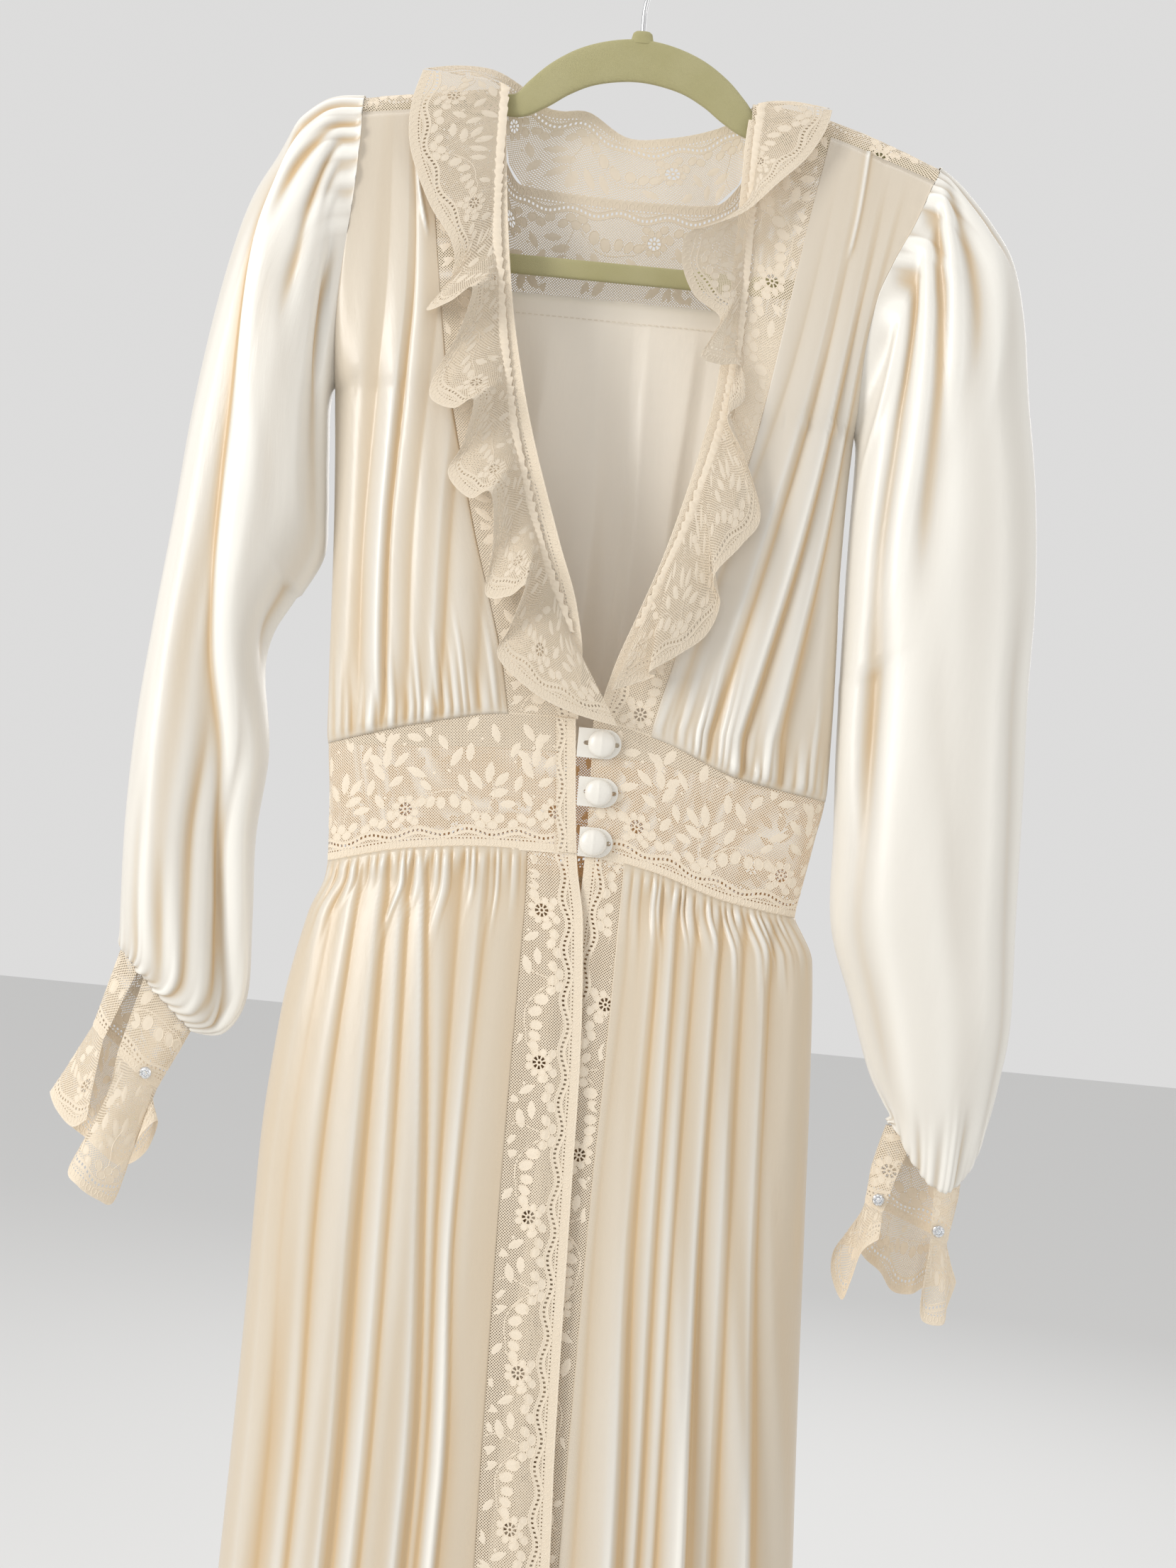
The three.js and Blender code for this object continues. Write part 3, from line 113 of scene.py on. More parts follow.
# level sections of the skirt
SKIRT = rows(
    "z left right front back",
    (-625, -159, 164, 31, 26), (-660, -157, 158, 32, 27), (-690, -167, 172, 40, 34),
    (-760, -179, 178, 48, 41), (-850, -184, 183, 54, 46), (-960, -183, 189, 60, 51),
    (-1130, -184, 199, 67, 57), (-1300, -190, 207, 73, 62), (-1460, -195, 213, 77, 65),
)

# front edges of the skirt and the inner edges of its lace bands
CLOSURE = rows(
    "z left right bandLeft bandRight",
    (-540, -1, 11, -37, 40), (-636, 9, 14, -24, 40), (-678, 17, 13, -22, 40), (-773, 24, 7, -21, 40),
    (-845, 26, 1, -20, 39), (-1007, 31, -4, -16, 40), (-1113, 36, -5, -13, 41), (-1460, 42, -6, -10, 43),
)

# soft vertical folds, a row each: where it stands at the top and the bottom, its two flanks and its height
BODICE_FOLDS_LEFT = rows(
    "top bottom left right height",
    (-168, -156, 8, 7, 1.6), (-146, -134, 9, 6, 2), (-126, -110, 12, 7, 1.8), (-104, -82, 10, 8, 1.4),
)

BODICE_FOLDS_RIGHT = rows(
    "top bottom left right height",
    (160, 124, 16, 7, 1.6), (142, 97, 15, 8, 1.6), (122, 72, 14, 9, 1.2),
)

BODICE_FOLDS_BACK = rows(
    "top bottom left right height",
    (-146, -132, 14, 9, 1.8), (-96, -80, 9, 15, 2.6), (-58, -50, 18, 8, 1.2), (6, 10, 12, 18, 2.4),
    (62, 52, 8, 14, 1.4), (104, 98, 16, 9, 2.8), (146, 136, 9, 12, 1.6),
)

SKIRT_FOLDS_LEFT = rows(
    "top bottom left right height",
    (-152, -163, 13, 9, 8), (-120, -126, 15, 10, 9), (-84, -86, 17, 11, 12), (-46, -38, 9, 9, 8),
)

SKIRT_FOLDS_RIGHT = rows(
    "top bottom left right height",
    (47, 68, 14, 8, 10), (75, 115, 15, 9, 12), (104, 156, 12, 8, 10), (131, 183, 11, 8, 7),
)

SKIRT_FOLDS_BACK = rows(
    "top bottom left right height",
    (-136, -156, 18, 12, 9), (-92, -98, 12, 24, 12), (-40, -34, 16, 12, 7), (8, 14, 26, 12, 13),
    (58, 74, 12, 16, 8), (98, 122, 22, 11, 12), (136, 166, 11, 14, 7),
)

# sleeves, a row for each ring: its outer and its inner point, its half depths, and how far its front droops
SLEEVE_LEFT = rows(
    "outX outZ inX inZ front back droop",
    (-182, -142.5, -183, -337, 24, 19, 0), (-197, -143.6, -184.2, -340, 28, 22, 0),
    (-210, -148.5, -185, -346, 33, 26, 0), (-226, -163, -185.2, -356, 37, 29, 0),
    (-241, -186, -184, -372, 40, 31, 0), (-255, -216, -182, -396, 42, 33, 0),
    (-265, -258, -179.5, -424, 43, 34, 0), (-273, -310, -179.5, -452, 43, 34, 0),
    (-279, -368, -194, -482, 42, 34, 0), (-283, -432, -207, -508, 40, 33, 0),
    (-289, -503, -211, -536, 38, 32, 0), (-294, -570, -204, -586, 38, 32, 0),
    (-295, -635, -207.5, -642, 38, 32, 0), (-293, -688, -204.5, -698, 38, 31, 0),
    (-291.5, -712, -203.5, -750, 34, 27, 4), (-291, -720, -217, -775, 23, 17, 3),
    (-289, -724, -237, -775, 11, 9, 0),
)

SLEEVE_RIGHT = rows(
    "outX outZ inX inZ front back droop",
    (207.5, -154, 166.6, -337, 24, 19, 0), (216, -158, 168, -340, 30, 24, 0),
    (229, -169, 169, -346, 36, 28, 0), (246, -187, 169.5, -356, 40, 31, 0),
    (262, -211, 169.8, -372, 43, 33, 0), (273, -250, 170, -394, 44, 34, 0),
    (281, -302, 170.6, -424, 44, 34, 0), (291, -360, 172, -462, 44, 34, 0),
    (298, -430, 173.5, -506, 43, 34, 0), (299.5, -500, 175.5, -552, 42, 34, 0),
    (303, -573, 179, -603, 42, 34, 0), (306, -650, 183, -664, 42, 34, 0), (309, -720, 200, -712, 40, 32, 0),
    (305, -758, 217, -758, 34, 27, 6), (300, -780, 229, -778, 28, 19, 20),
    (293, -795, 236, -788, 23, 13, 40), (285, -799, 233, -792, 10, 8, 0),
)

# long sleeve folds: ring angle at the head and at the wrist (0 outer, 90 front, 180 inner), width, height
SLEEVE_FOLDS_LEFT = rows(
    "head wrist width height",
    (38, 20, 9, 3.5), (62, 55, 10, 5), (88, 84, 9, 5), (118, 122, 10, 3.5), (236, 232, 10, 3.5),
    (268, 272, 9, 5), (298, 305, 10, 4.5), (326, 340, 9, 3),
)

SLEEVE_FOLDS_RIGHT = rows(
    "head wrist width height",
    (30, 16, 9, 3), (58, 46, 10, 3.5), (92, 80, 11, 4.5), (126, 118, 9, 4), (238, 240, 10, 3.5),
    (266, 276, 10, 5), (300, 312, 10, 4), (330, 345, 9, 3),
)

# free edge of each cuff flounce, from one side of the split round the back to the other
FLOUNCE_LEFT = rows(
    "x y z",
    (-287, -15, -838), (-306, -24, -871), (-298, -30, -882), (-285, -24, -891), (-276, -16, -893),
    (-270, -8, -866), (-262, -14, -846), (-253, -8, -838), (-262, 8, -862), (-279, 15, -874),
    (-294, 10, -864), (-306, 20, -858), (-320, 13, -846), (-329, 3, -827), (-322, -8, -836),
    (-309, -14, -846), (-299, -17, -840),
)

FLOUNCE_RIGHT = rows(
    "x y z",
    (232, -22, -868), (222, -19, -878), (217, -14, -900), (213, -7, -913), (205, -2, -896), (208, 6, -880),
    (222, 13, -882), (231, 18, -890), (240, 12, -896), (250, 19, -909), (262, 13, -909), (272, 20, -905),
    (287, 12, -900), (290, 2, -896), (284, -7, -912), (281, -14, -922), (266, -18, -919), (264, -20, -900),
)

# ruffles down the fronts: height of the seam under each point of the free edge, and how far it stands out
RUFFLE_LEFT = rows(
    "seam x z lift",
    (-125, -144, -121, 2), (-140, -149, -148, 8), (-160, -146, -178, 10), (-184, -130, -214, 12),
    (-206, -112, -240, 11), (-222, -110, -262, 6), (-236, -124, -286, 9), (-249, -108, -282, 21),
    (-261, -94, -273, 26), (-275, -101, -301, 14), (-290, -114, -328, 8), (-303, -115, -345, 12),
    (-317, -99, -352, 21), (-329, -86, -346, 25), (-342, -91, -373, 13), (-355, -99, -393, 9),
    (-368, -83, -409, 20), (-380, -69, -405, 25), (-394, -65, -437, 13), (-408, -67, -469, 9),
    (-420, -51, -470, 20), (-431, -41, -463, 25), (-442, -49, -490, 13), (-453, -55, -509, 9),
    (-465, -30, -530, 13), (-477, -3, -541, 15), (-488, 27, -547, 13),
)

RUFFLE_RIGHT = rows(
    "seam x z lift",
    (-121, 131, -122, 2), (-134, 127, -139, 9), (-150, 116, -160, 14), (-166, 98, -181, 20),
    (-182, 78, -204, 27), (-196, 56, -217, 32), (-209, 41, -225, 32), (-222, 40, -243, 25),
    (-235, 50, -262, 18), (-248, 68, -274, 13), (-260, 63, -290, 19), (-272, 58, -303, 23),
    (-285, 70, -306, 17), (-297, 85, -305, 9), (-310, 89, -326, 8), (-322, 79, -341, 17),
    (-335, 93, -364, 11), (-350, 107, -401, 8), (-364, 96, -422, 15), (-378, 80, -444, 21),
    (-392, 86, -461, 9), (-406, 79, -482, 9), (-422, 62, -497, 15), (-438, 44, -510, 20),
    (-452, 48, -512, 9), (-466, 33, -519, 9), (-480, 21, -524, 13),
)

RUFFLE_SEAM = rows(
    "z left right",
    (-121, -89, 84), (-153, -88, 83), (-204, -86, 82.5), (-277, -76, 82), (-330, -66, 78.5),
    (-360, -59, 73), (-410, -43, 60), (-437, -33, 51), (-476, -15, 37), (-495, -7, 29),
)

# the standing collar behind the neck: its seam on the yoke and its free edge
COLLAR = rows(
    "seamX seamY seamZ x y z",
    (-88.8, -4.9, -124.4, -143.6, -7, -120), (-88.3, 0, -124.7, -121, 1, -113.5),
    (-88.2, 6.3, -129, -98, 10, -111.6), (-87, 8, -150.5, -78, 17, -119),
    (-82, 11.6, -173.8, -62, 21, -129.5), (-71.4, 13.5, -187.1, -50, 24, -131),
    (-40, 14, -189.7, -31, 25, -130), (0, 14.3, -190.7, -4, 27, -144), (40, 14.3, -190.2, 24, 26, -142),
    (59.6, 14.1, -188.1, 50, 24, -135.5), (74, 12, -173, 68, 22, -127), (80.9, 7.9, -147, 83, 17, -115),
    (83.4, 6.2, -124.4, 102, 10, -113.5), (83.6, 0, -119.3, 118, 1, -117),
    (83.8, -4.9, -120.4, 130.6, -7, -121),
)

# upper edge of the back yoke, cut out for the neck
YOKE_TOP = rows(
    "x z",
    (-92, -139.5), (-88, -152), (-83, -175), (-72, -188), (-40, -190.5), (0, -191.5), (40, -191),
    (60, -189), (75, -174), (82, -148), (86, -134.5),
)

# middle line of the hanger's frame on one side, from the top of the arch round to the bar
HANGER_LINE = rows(
    "x z half",
    (0, -99.3, 14.3), (18, -101.3, 14), (36, -106.8, 13.2), (52, -116, 12.2), (65, -126.8, 10.8),
    (77, -136, 8.2), (92, -137.9, 6.9), (120, -142.4, 6.5), (196, -157.6, 6.5), (204, -166, 6.5),
    (202.5, -178, 6.5), (190, -202, 6.5), (172, -228, 6.5), (158, -239.5, 6.5), (140, -242.5, 6.5),
)

HOOK_PATH = rows(
    "x z",
    (0, -84.5), (0, -64), (3.5, -50), (12.5, -37), (18.6, -26.5),
)

# finer folds between narrow valleys: where a valley runs at four levels, then the fold to its right,
# its height at the top and at the bottom, and which way it leans
BODICE_LEVELS = {"shoulder": -140, "chest": -292, "rib": -410, "waist": -545}
SKIRT_LEVELS = {"waist": -655, "hip": -865, "knee": -1050, "hem": -1460}

BODICE_PLEATS_LEFT = rows(
    "shoulder chest rib waist high low lean",
    (-188, -190, -182, -172, 0.3, 1.4, 1), (-161, -152, -152, -145, 0.6, 3, 1.9),
    (-147, -133, -134, -127, 1.6, 2.2, 0.6), (-138, -117, -119, -112, 0.6, 3.2, 2),
    (-128, -92, -94, -90, 0.4, 2.2, 1.6), (-116, -72, -71, -66, 0.2, 1.8, 1.4),
    (-100, -50, -50, -48, 0, 0, 1),
)

BODICE_PLEATS_RIGHT = rows(
    "shoulder chest rib waist high low lean",
    (118, 96, 70, 42, 0.2, 2, 1.6), (143, 121, 93, 62, 0.3, 3.6, 2), (160, 141, 119, 90, 0.4, 5.4, 2.2),
    (176, 156, 139, 112, 0.5, 4.6, 1.9), (190, 165, 154, 136, 0.5, 2.4, 1.3), (212, 178, 172, 172, 0, 0, 1),
)

BODICE_PLEATS_BACK = rows(
    "shoulder chest rib waist high low lean",
    (-190, -188, -180, -172, 0.2, 1.2, 1), (-158, -158, -152, -147, 0.3, 2.4, 1.5),
    (-128, -124, -128, -121, 0.2, 3.4, 2), (-112, -108, -98, -96, 0.2, 1.4, 0.8),
    (-70, -76, -72, -74, 0.4, 3, 0.6), (-48, -44, -50, -42, 0.2, 1.2, 1.2), (-4, -8, -2, -6, 0.4, 3.8, 1.8),
    (22, 24, 26, 20, 0.2, 1, 0.8), (58, 56, 50, 54, 0.4, 2.8, 0.6), (78, 82, 84, 76, 0.2, 2.2, 1.4),
    (120, 114, 108, 110, 0.3, 3.6, 2), (140, 136, 134, 130, 0.2, 1.6, 0.8),
    (170, 160, 158, 154, 0.2, 1.4, 1), (210, 176, 172, 174, 0, 0, 1),
)

SKIRT_PLEATS_LEFT = rows(
    "waist hip knee hem high low lean",
    (-164, -188, -188, -199, 1.5, 3, 1.4), (-146, -160, -154, -161, 2, 2.6, 1.7),
    (-131, -138, -133, -140, 2.2, 5.5, 2.2), (-113, -109, -105, -112, 2.2, 3, 1.6),
    (-99, -90, -86, -92, 2.4, 7, 2.4), (-88, -68, -57, -61, 2, 1.4, 1), (-65, -59, -50, -53, 2.4, 6, 1.9),
    (-46, -47, -37, -38, 2, 2, 1.2), (-20, -18, -12, -8, 0, 0, 1),
)

SKIRT_PLEATS_RIGHT = rows(
    "waist hip knee hem high low lean",
    (36, 36, 36, 36, 1.2, 2, 1), (50, 45, 50, 58, 2.4, 7, 2.4), (68, 70, 79, 90, 2.3, 2.8, 1.7),
    (79, 84, 91, 104, 1.6, 2, 1.4), (92, 95, 102, 118, 2.4, 7.5, 2.3), (108, 113, 121, 138, 2.2, 3, 1.5),
    (124, 131, 140, 158, 2.2, 5.5, 2), (142, 150, 164, 182, 1.8, 2.5, 1.2), (168, 190, 204, 218, 0, 0, 1),
)

SKIRT_PLEATS_BACK = rows(
    "waist hip knee hem high low lean",
    (-164, -188, -188, -199, 2, 3, 1.3), (-146, -166, -172, -182, 2.4, 5.5, 2.2),
    (-128, -134, -132, -136, 2, 2.2, 0.8), (-108, -118, -120, -128, 2.5, 6.5, 0.55),
    (-84, -82, -78, -80, 2.6, 2.4, 1.2), (-66, -66, -66, -70, 2, 4.5, 2), (-50, -42, -36, -36, 1.8, 1.8, 1),
    (-26, -30, -30, -26, 2.5, 7.5, 2.3), (-8, 2, 10, 14, 2, 2.4, 0.7), (18, 20, 22, 28, 2.2, 3.4, 0.6),
    (33, 36, 36, 44, 2.5, 6.5, 1.9), (56, 68, 78, 88, 2.4, 2, 1), (80, 84, 92, 102, 2, 8, 2.2),
    (104, 114, 118, 128, 2.2, 2.4, 0.7), (122, 130, 132, 142, 2, 5, 0.6), (146, 162, 172, 188, 2.2, 3, 1.4),
    (168, 190, 204, 218, 0, 0, 1),
)

# stitched tucks of the bodice, and the small pleats of the skirt's lace bands at the waist
TUCK = {"height": 1.3, "half": 1.3, "fade": 12}
TUCK_LEFT = rows("x z", (-146, -140), (-139, -197), (-133, -220), (-128, -236))
TUCK_RIGHT = rows("x z", (159, -140), (155, -188), (150, -225))
BAND_PLEAT = {"height": 1.1, "count": 4, "reach": 0.16, "fold": 2.2, "at": 0.45, "half": 0.16}

# creases of the sleeves: the ring angle at five places, where one starts and ends, its two flanks (as angles)
# and its height, less than nothing in a trough
SLEEVE_PLACES = {"head": 0.05, "upper": 0.25, "elbow": 0.5, "lower": 0.75, "wrist": 0.95}

SLEEVE_CREASES_LEFT = rows(
    "head upper elbow lower wrist start end left right height",
    (20, 26, 30, 30, 30, 0, 0.26, 5, 6, -3), (38, 52, 60, 60, 60, 0, 0.27, 6, 5, -4.5),
    (49, 84, 90, 90, 90, 0, 0.22, 6, 5, -4), (62, 100, 110, 110, 110, 0, 0.12, 5, 5, -3),
    (74, 110, 115, 115, 115, 0, 0.08, 4, 4, -2.5), (10, 30, 69, 128, 160, 0.2, 0.97, 28, 6, -11),
    (100, 142, 159, 172, 176, 0.06, 0.62, 12, 14, -8), (78, 86, 92, 92, 92, 0.19, 0.31, 6, 5, -3.5),
    (40, 40, 100, 120, 120, 0.42, 0.6, 8, 8, 2.5), (30, 34, 40, 50, 60, 0.3, 0.85, 12, 12, 3),
    (80, 90, 105, 98, 96, 0.68, 0.98, 5, 5, -3), (110, 115, 120, 136, 128, 0.66, 0.93, 6, 5, -4),
    (60, 62, 66, 72, 76, 0.78, 0.99, 5, 5, -2.5), (40, 40, 44, 50, 50, 0.72, 0.98, 5, 4, -2),
    (225, 232, 238, 240, 236, 0.02, 0.7, 12, 8, -6), (250, 262, 262, 268, 262, 0.05, 0.95, 9, 7, -5),
    (282, 288, 296, 300, 296, 0.02, 0.6, 8, 12, -5), (305, 312, 318, 322, 330, 0.3, 0.96, 14, 6, -6),
    (335, 338, 342, 345, 345, 0, 0.35, 6, 6, -4), (270, 276, 278, 284, 288, 0.7, 0.98, 5, 6, -3),
)

SLEEVE_CREASES_RIGHT = rows(
    "head upper elbow lower wrist start end left right height",
    (97, 157, 176, 178, 178, 0.02, 0.5, 8, 6, 2.8), (82, 124, 138, 137, 130, 0.02, 0.62, 9, 6, -5),
    (67, 102, 119, 118, 116, 0.02, 0.42, 7, 7, 3), (54, 91, 107, 100, 98, 0.03, 0.46, 10, 8, -5),
    (39, 81, 97, 96, 96, 0.02, 0.34, 6, 7, 3.5), (28, 62, 86, 90, 90, 0.06, 0.3, 9, 7, -4),
    (20, 42, 84, 84, 84, 0.18, 0.36, 9, 9, 2), (10, 20, 24, 24, 24, 0.02, 0.26, 7, 6, -3),
    (120, 128, 132, 140, 136, 0.45, 0.85, 14, 9, -3.4), (80, 84, 92, 70, 66, 0.5, 0.72, 12, 9, -2),
    (34, 38, 38, 30, 28, 0.5, 0.9, 9, 6, -1.8), (60, 62, 64, 62, 58, 0.84, 0.99, 6, 5, -2.2),
    (84, 84, 86, 88, 90, 0.86, 0.99, 5, 5, -2.2), (104, 106, 108, 110, 112, 0.86, 0.99, 5, 4, -2.2),
    (228, 234, 236, 238, 240, 0.02, 0.75, 9, 12, -5), (256, 258, 266, 270, 268, 0.04, 0.6, 8, 7, -4),
    (284, 292, 294, 292, 290, 0.02, 0.94, 12, 7, -4), (312, 318, 316, 312, 314, 0.25, 0.92, 7, 12, -4),
    (338, 340, 340, 342, 345, 0, 0.4, 6, 7, -3.5), (272, 274, 280, 282, 280, 0.72, 0.98, 6, 5, -3),
)

# one repeat of the lace, in millimetres along the strip (s) and in from its worked edge (t)
LACE = {
    "repeat": 100, "cord": 0.34, "rise": 0.24, "wave": 1.9, "wavelength": 33.4, "ladder": 10.8, "holes": 0.85,
    "rungs": 3, "tape": 2.6, "border": 7.8, "ring_pitch": 5, "flower_s": 50, "flower_t": 27, "flower_r": 4.9,
    "picot": 6.5, "pinhole": 0.55, "net": 1.9, "thread": 0.66, "rung": 0.45,
}
FLOWER = {"petals": 8, "eyelets_from": 2.1, "eyelets_to": 4.4, "eyelet": -0.3, "eye": 0.9, "disc": 6}

OVAL_SCALE = 1.2
LEAF = {"rise": 0.14, "scale": 1.5}
# how far each corner of a leaf's rim is drawn in, so that its two ends are pointed
LEAF_PINCH = (1, 0.86, 0.92, 0.86, 1, 0.86, 0.92, 0.86)
LACE_LEAVES = rows(
    "s t angle length width",
    (-7, 50, 100, 10, 4.6), (2, 45, 60, 10, 4.4), (11, 43, 66, 9, 4.2), (-15, 46, 135, 9, 4.2),
    (-13, 37, 165, 9, 4.4), (-19, 30, 175, 8, 4), (15, 60, 122, 10, 4.4), (6, 63, 96, 9, 4.2),
    (24, 70, 60, 8, 4), (42, 51, 28, 10, 4.2), (52, 60, 140, 9, 4), (-32, 54, 60, 10, 4.4),
    (-38, 62, 100, 9, 4.4), (-44, 46, 150, 8, 4), (36, 42, 40, 7, 3.6), (-24, 66, 120, 8, 3.8),
    (68, 34, 60, 8, 4), (74, 44, 110, 8, 4), (-11, 76, 75, 9, 4.2), (4, 82, 130, 8, 4), (34, 80, 80, 9, 4),
    (43, 74, 20, 8, 4), (60, 72, 100, 9, 4.2), (70, 62, 40, 8, 4), (-33, 78, 60, 9, 4.2),
    (-42, 74, 150, 8, 4),
)

LACE_OVALS = rows(
    "s t angle length width",
    (9, 27, 90, 8, 6), (17, 31, 70, 8, 5.4), (26, 30, 95, 7, 5), (33, 31, 120, 7, 4.6), (-4, 20, 40, 6, 5),
    (-8, 15.5, 0, 6, 4.6), (0, 15.5, 20, 6, 4.8), (-13, 20, 150, 6, 4.6), (3, 21, 90, 5, 4.6),
    (40, 31, 160, 7, 5), (60, 24, 60, 6, 4.6), (66, 19, 150, 6, 4.6), (-28, 21, 30, 6, 4.6),
    (-22, 17, 150, 6, 4.6), (44, 18.5, 20, 5, 4), (56, 17.5, 160, 5, 4),
)

LACE_DOTS = rows(
    "s t",
    (-24, 58), (30, 50), (-2, 72), (58, 46), (-50, 70), (20, 51), (64, 68), (-36, 36), (40, 66),
)

LACE_SCROLL = rows(
    "s t",
    (-1, 22), (3, 28), (9, 34), (16, 37.5), (24, 38), (31, 36.5), (37, 36), (42, 32), (45, 28),
)

# one bead, one petal of the flower, and one ring and one picot of the worked edge
DOT = {"angle": 0, "length": 2.2, "width": 2}
FLOWER_PETAL = {"length": 5, "width": 4.4}
EDGE_RING = {"t": 4, "angle": 90, "length": 5, "width": 3.6}
PICOT = {"t": 0.6, "angle": 0, "length": 3.6, "width": 1.6}

LACE_STEM = rows("s t", (-5, 22), (-7, 29), (-10, 36), (-9, 43), (-7, 48))


# ---- curves ----
def track(table, by, column):
    """A smooth curve through the rows of a table, with no overshoot between them."""
    ordered = sorted(table, key=lambda row: row[by])
    at = np.array([row[by] for row in ordered], float)
    value = np.array([row[column] for row in ordered], float)
    slope = np.diff(value) / np.diff(at)
    tangent = np.zeros_like(value)
    tangent[0], tangent[-1] = slope[0], slope[-1]
    product, total = slope[:-1] * slope[1:], slope[:-1] + slope[1:]
    tangent[1:-1] = np.where(product > 0, 2 * product / np.where(product > 0, total, 1), 0)

    def curve(where):
        x = np.clip(where, at[0], at[-1])
        i = np.clip(np.searchsorted(at, x, side="right") - 1, 0, len(at) - 2)
        span = at[i + 1] - at[i]
        t = (x - at[i]) / span
        rest = 1 - t
        start = value[i] * (1 + 2 * t) + tangent[i] * span * t
        end = value[i + 1] * (3 - 2 * t) - tangent[i + 1] * span * rest
        return start * rest * rest + end * t * t

    return curve


def swing(table, column):
    """A rounder curve through evenly spaced rows, for free edges that swing to and fro."""
    value = np.array([row[column] for row in table], float)
    last = len(value) - 1

    def curve(part):
        place = np.clip(part, 0, 1) * last
        i = np.clip(np.floor(place).astype(int), 0, last - 1)
        t = place - i
        before, after = value[np.maximum(i - 1, 0)], value[np.minimum(i + 2, last)]
        bend = -before + 3 * value[i] - 3 * value[i + 1] + after
        sag = 2 * before - 5 * value[i] + 4 * value[i + 1] - after
        return value[i] + 0.5 * t * (value[i + 1] - before + t * (sag + t * bend))

    return curve


def straight(table, column):
    """Straight lines between evenly spaced rows."""
    value = np.array([row[column] for row in table], float)
    return lambda part: np.interp(np.asarray(part) * (len(value) - 1), np.arange(len(value)), value)


def mix(a, b, t):
    """Between a and b, by the share t."""
    return a + (b - a) * t


def even(count):
    """Evenly spaced values from 0 to 1."""
    return np.linspace(0, 1, count)


def full_turn(count):
    """Evenly spaced angles round a circle, the first of them not repeated."""
    return np.linspace(0, 2 * np.pi, count, endpoint=False)


def ease(start, end, value):
    """From 0 at start to 1 at end, smoothly, and flat outside them."""
    t = np.clip((value - start) / (end - start), 0, 1)
    return t * t * (3 - 2 * t)


# ---- the body's surface ----
ridge = track(SHOULDER, "x", "z")
sides = {side: track(BODY_SIDES, "z", side) for side in ("left", "right")}
body_depth = {face: track(BODY_DEPTH, "drop", face) for face in ("front", "back")}
skirt = {column: track(SKIRT, "z", column) for column in ("left", "right", "front", "back")}
neck = {side: track(NECKLINE, "z", side) for side in ("left", "right")}
front_band = {side: track(NECKLINE, "z", "band" + side.title()) for side in ("left", "right")}
closure = {side: track(CLOSURE, "z", side) for side in ("left", "right")}
skirt_band = {side: track(CLOSURE, "z", "band" + side.title()) for side in ("left", "right")}
waist = {column: track(WAISTBAND, "x", column) for column in WAISTBAND[0] if column != "x"}


def armhole_depth(side, face, z):
    """How far the armhole's seam stands off the middle plane, on its front or its back."""
    top = ridge(sides[side](ARMHOLE["bottom"] / 2))
    middle = (top + ARMHOLE["bottom"]) / 2
    share = np.clip((z - middle) / (top - middle), -1, 1)
    return HALF_SEAM + ARMHOLE[face] * np.sqrt(1 - share * share)


def section_shape(x, left, right):
    """The rounded shape of a level section: 1 in the middle, 0 at its two sides."""
    share = np.minimum(np.abs(x - (left + right) / 2) / ((right - left) / 2), 1)
    return (1 - share**ROUNDING) ** (1 / ROUNDING)


def body_y(face, x, z):
    """The depth of the bodice's surface on its front or its back."""
    left, right = sides["left"](z), sides["right"](z)
    on_left = x < (left + right) / 2
    edge = np.where(on_left, armhole_depth("left", face, z), armhole_depth("right", face, z))
    depth = np.maximum(body_depth[face](ridge(x) - z), HALF_SEAM)
    return FACING[face] * mix(edge, depth, section_shape(x, left, right))


def skirt_y(face, x, z):
    """The depth of the skirt's surface on its front or its back."""
    shape = section_shape(x, skirt["left"](z), skirt["right"](z))
    return FACING[face] * (HALF_SEAM + (skirt[face](z) - HALF_SEAM) * shape)


def along_section(surface, start, end, z, share):
    """The x at an equal share of the cloth's own width along a level section, for arrays of sections."""
    start, end, z, share = np.broadcast_arrays(*(np.asarray(v, float) for v in (start, end, z, share)))
    shape = start.shape
    start, end, z, share = (v.reshape(-1, 1) for v in (start, end, z, share))
    x = mix(start, end, (1 - np.cos(np.pi * even(91))) / 2)
    step = np.hypot(np.diff(x, axis=1), np.diff(surface(x, z), axis=1))
    length = np.concatenate([np.zeros_like(z), np.cumsum(step, axis=1)], axis=1)
    wanted = share * length[:, -1:]
    i = np.clip((length < wanted).sum(axis=1, keepdims=True) - 1, 0, 89)
    here, there = np.take_along_axis(length, i, 1), np.take_along_axis(length, i + 1, 1)
    part = (wanted - here) / np.maximum(there - here, 1e-9)
    return mix(np.take_along_axis(x, i, 1), np.take_along_axis(x, i + 1, 1), part).reshape(shape)


# ---- grids of points ----
def weights(count, places, closed=False):
    """Weights that smoothly resample count evenly spaced values at the given places from 0 to 1."""
    spans = count if closed else count - 1
    place = np.asarray(places) * spans
    i = np.floor(place).astype(int) if closed else np.clip(place.astype(int), 0, count - 2)
    t = place - i
    table = np.zeros((len(place), count))
    row = np.arange(len(place))
    parts = (
        (-1, -0.5 * t + t**2 - 0.5 * t**3),
        (0, 1 - 2.5 * t**2 + 1.5 * t**3),
        (1, 0.5 * t + 2 * t**2 - 1.5 * t**3),
        (2, -0.5 * t**2 + 0.5 * t**3),
    )
    for offset, weight in parts:
        column = i + offset
        if closed:
            np.add.at(table, (row, column % count), weight)
            continue
        low, high = column < 0, column > count - 1
        inside = ~(low | high)
        np.add.at(table, (row[inside], column[inside]), weight[inside])
        np.add.at(table, (row[low], 0), 2 * weight[low])
        np.add.at(table, (row[low], 1), -weight[low])
        np.add.at(table, (row[high], count - 1), 2 * weight[high])
        np.add.at(table, (row[high], count - 2), -weight[high])
    return table


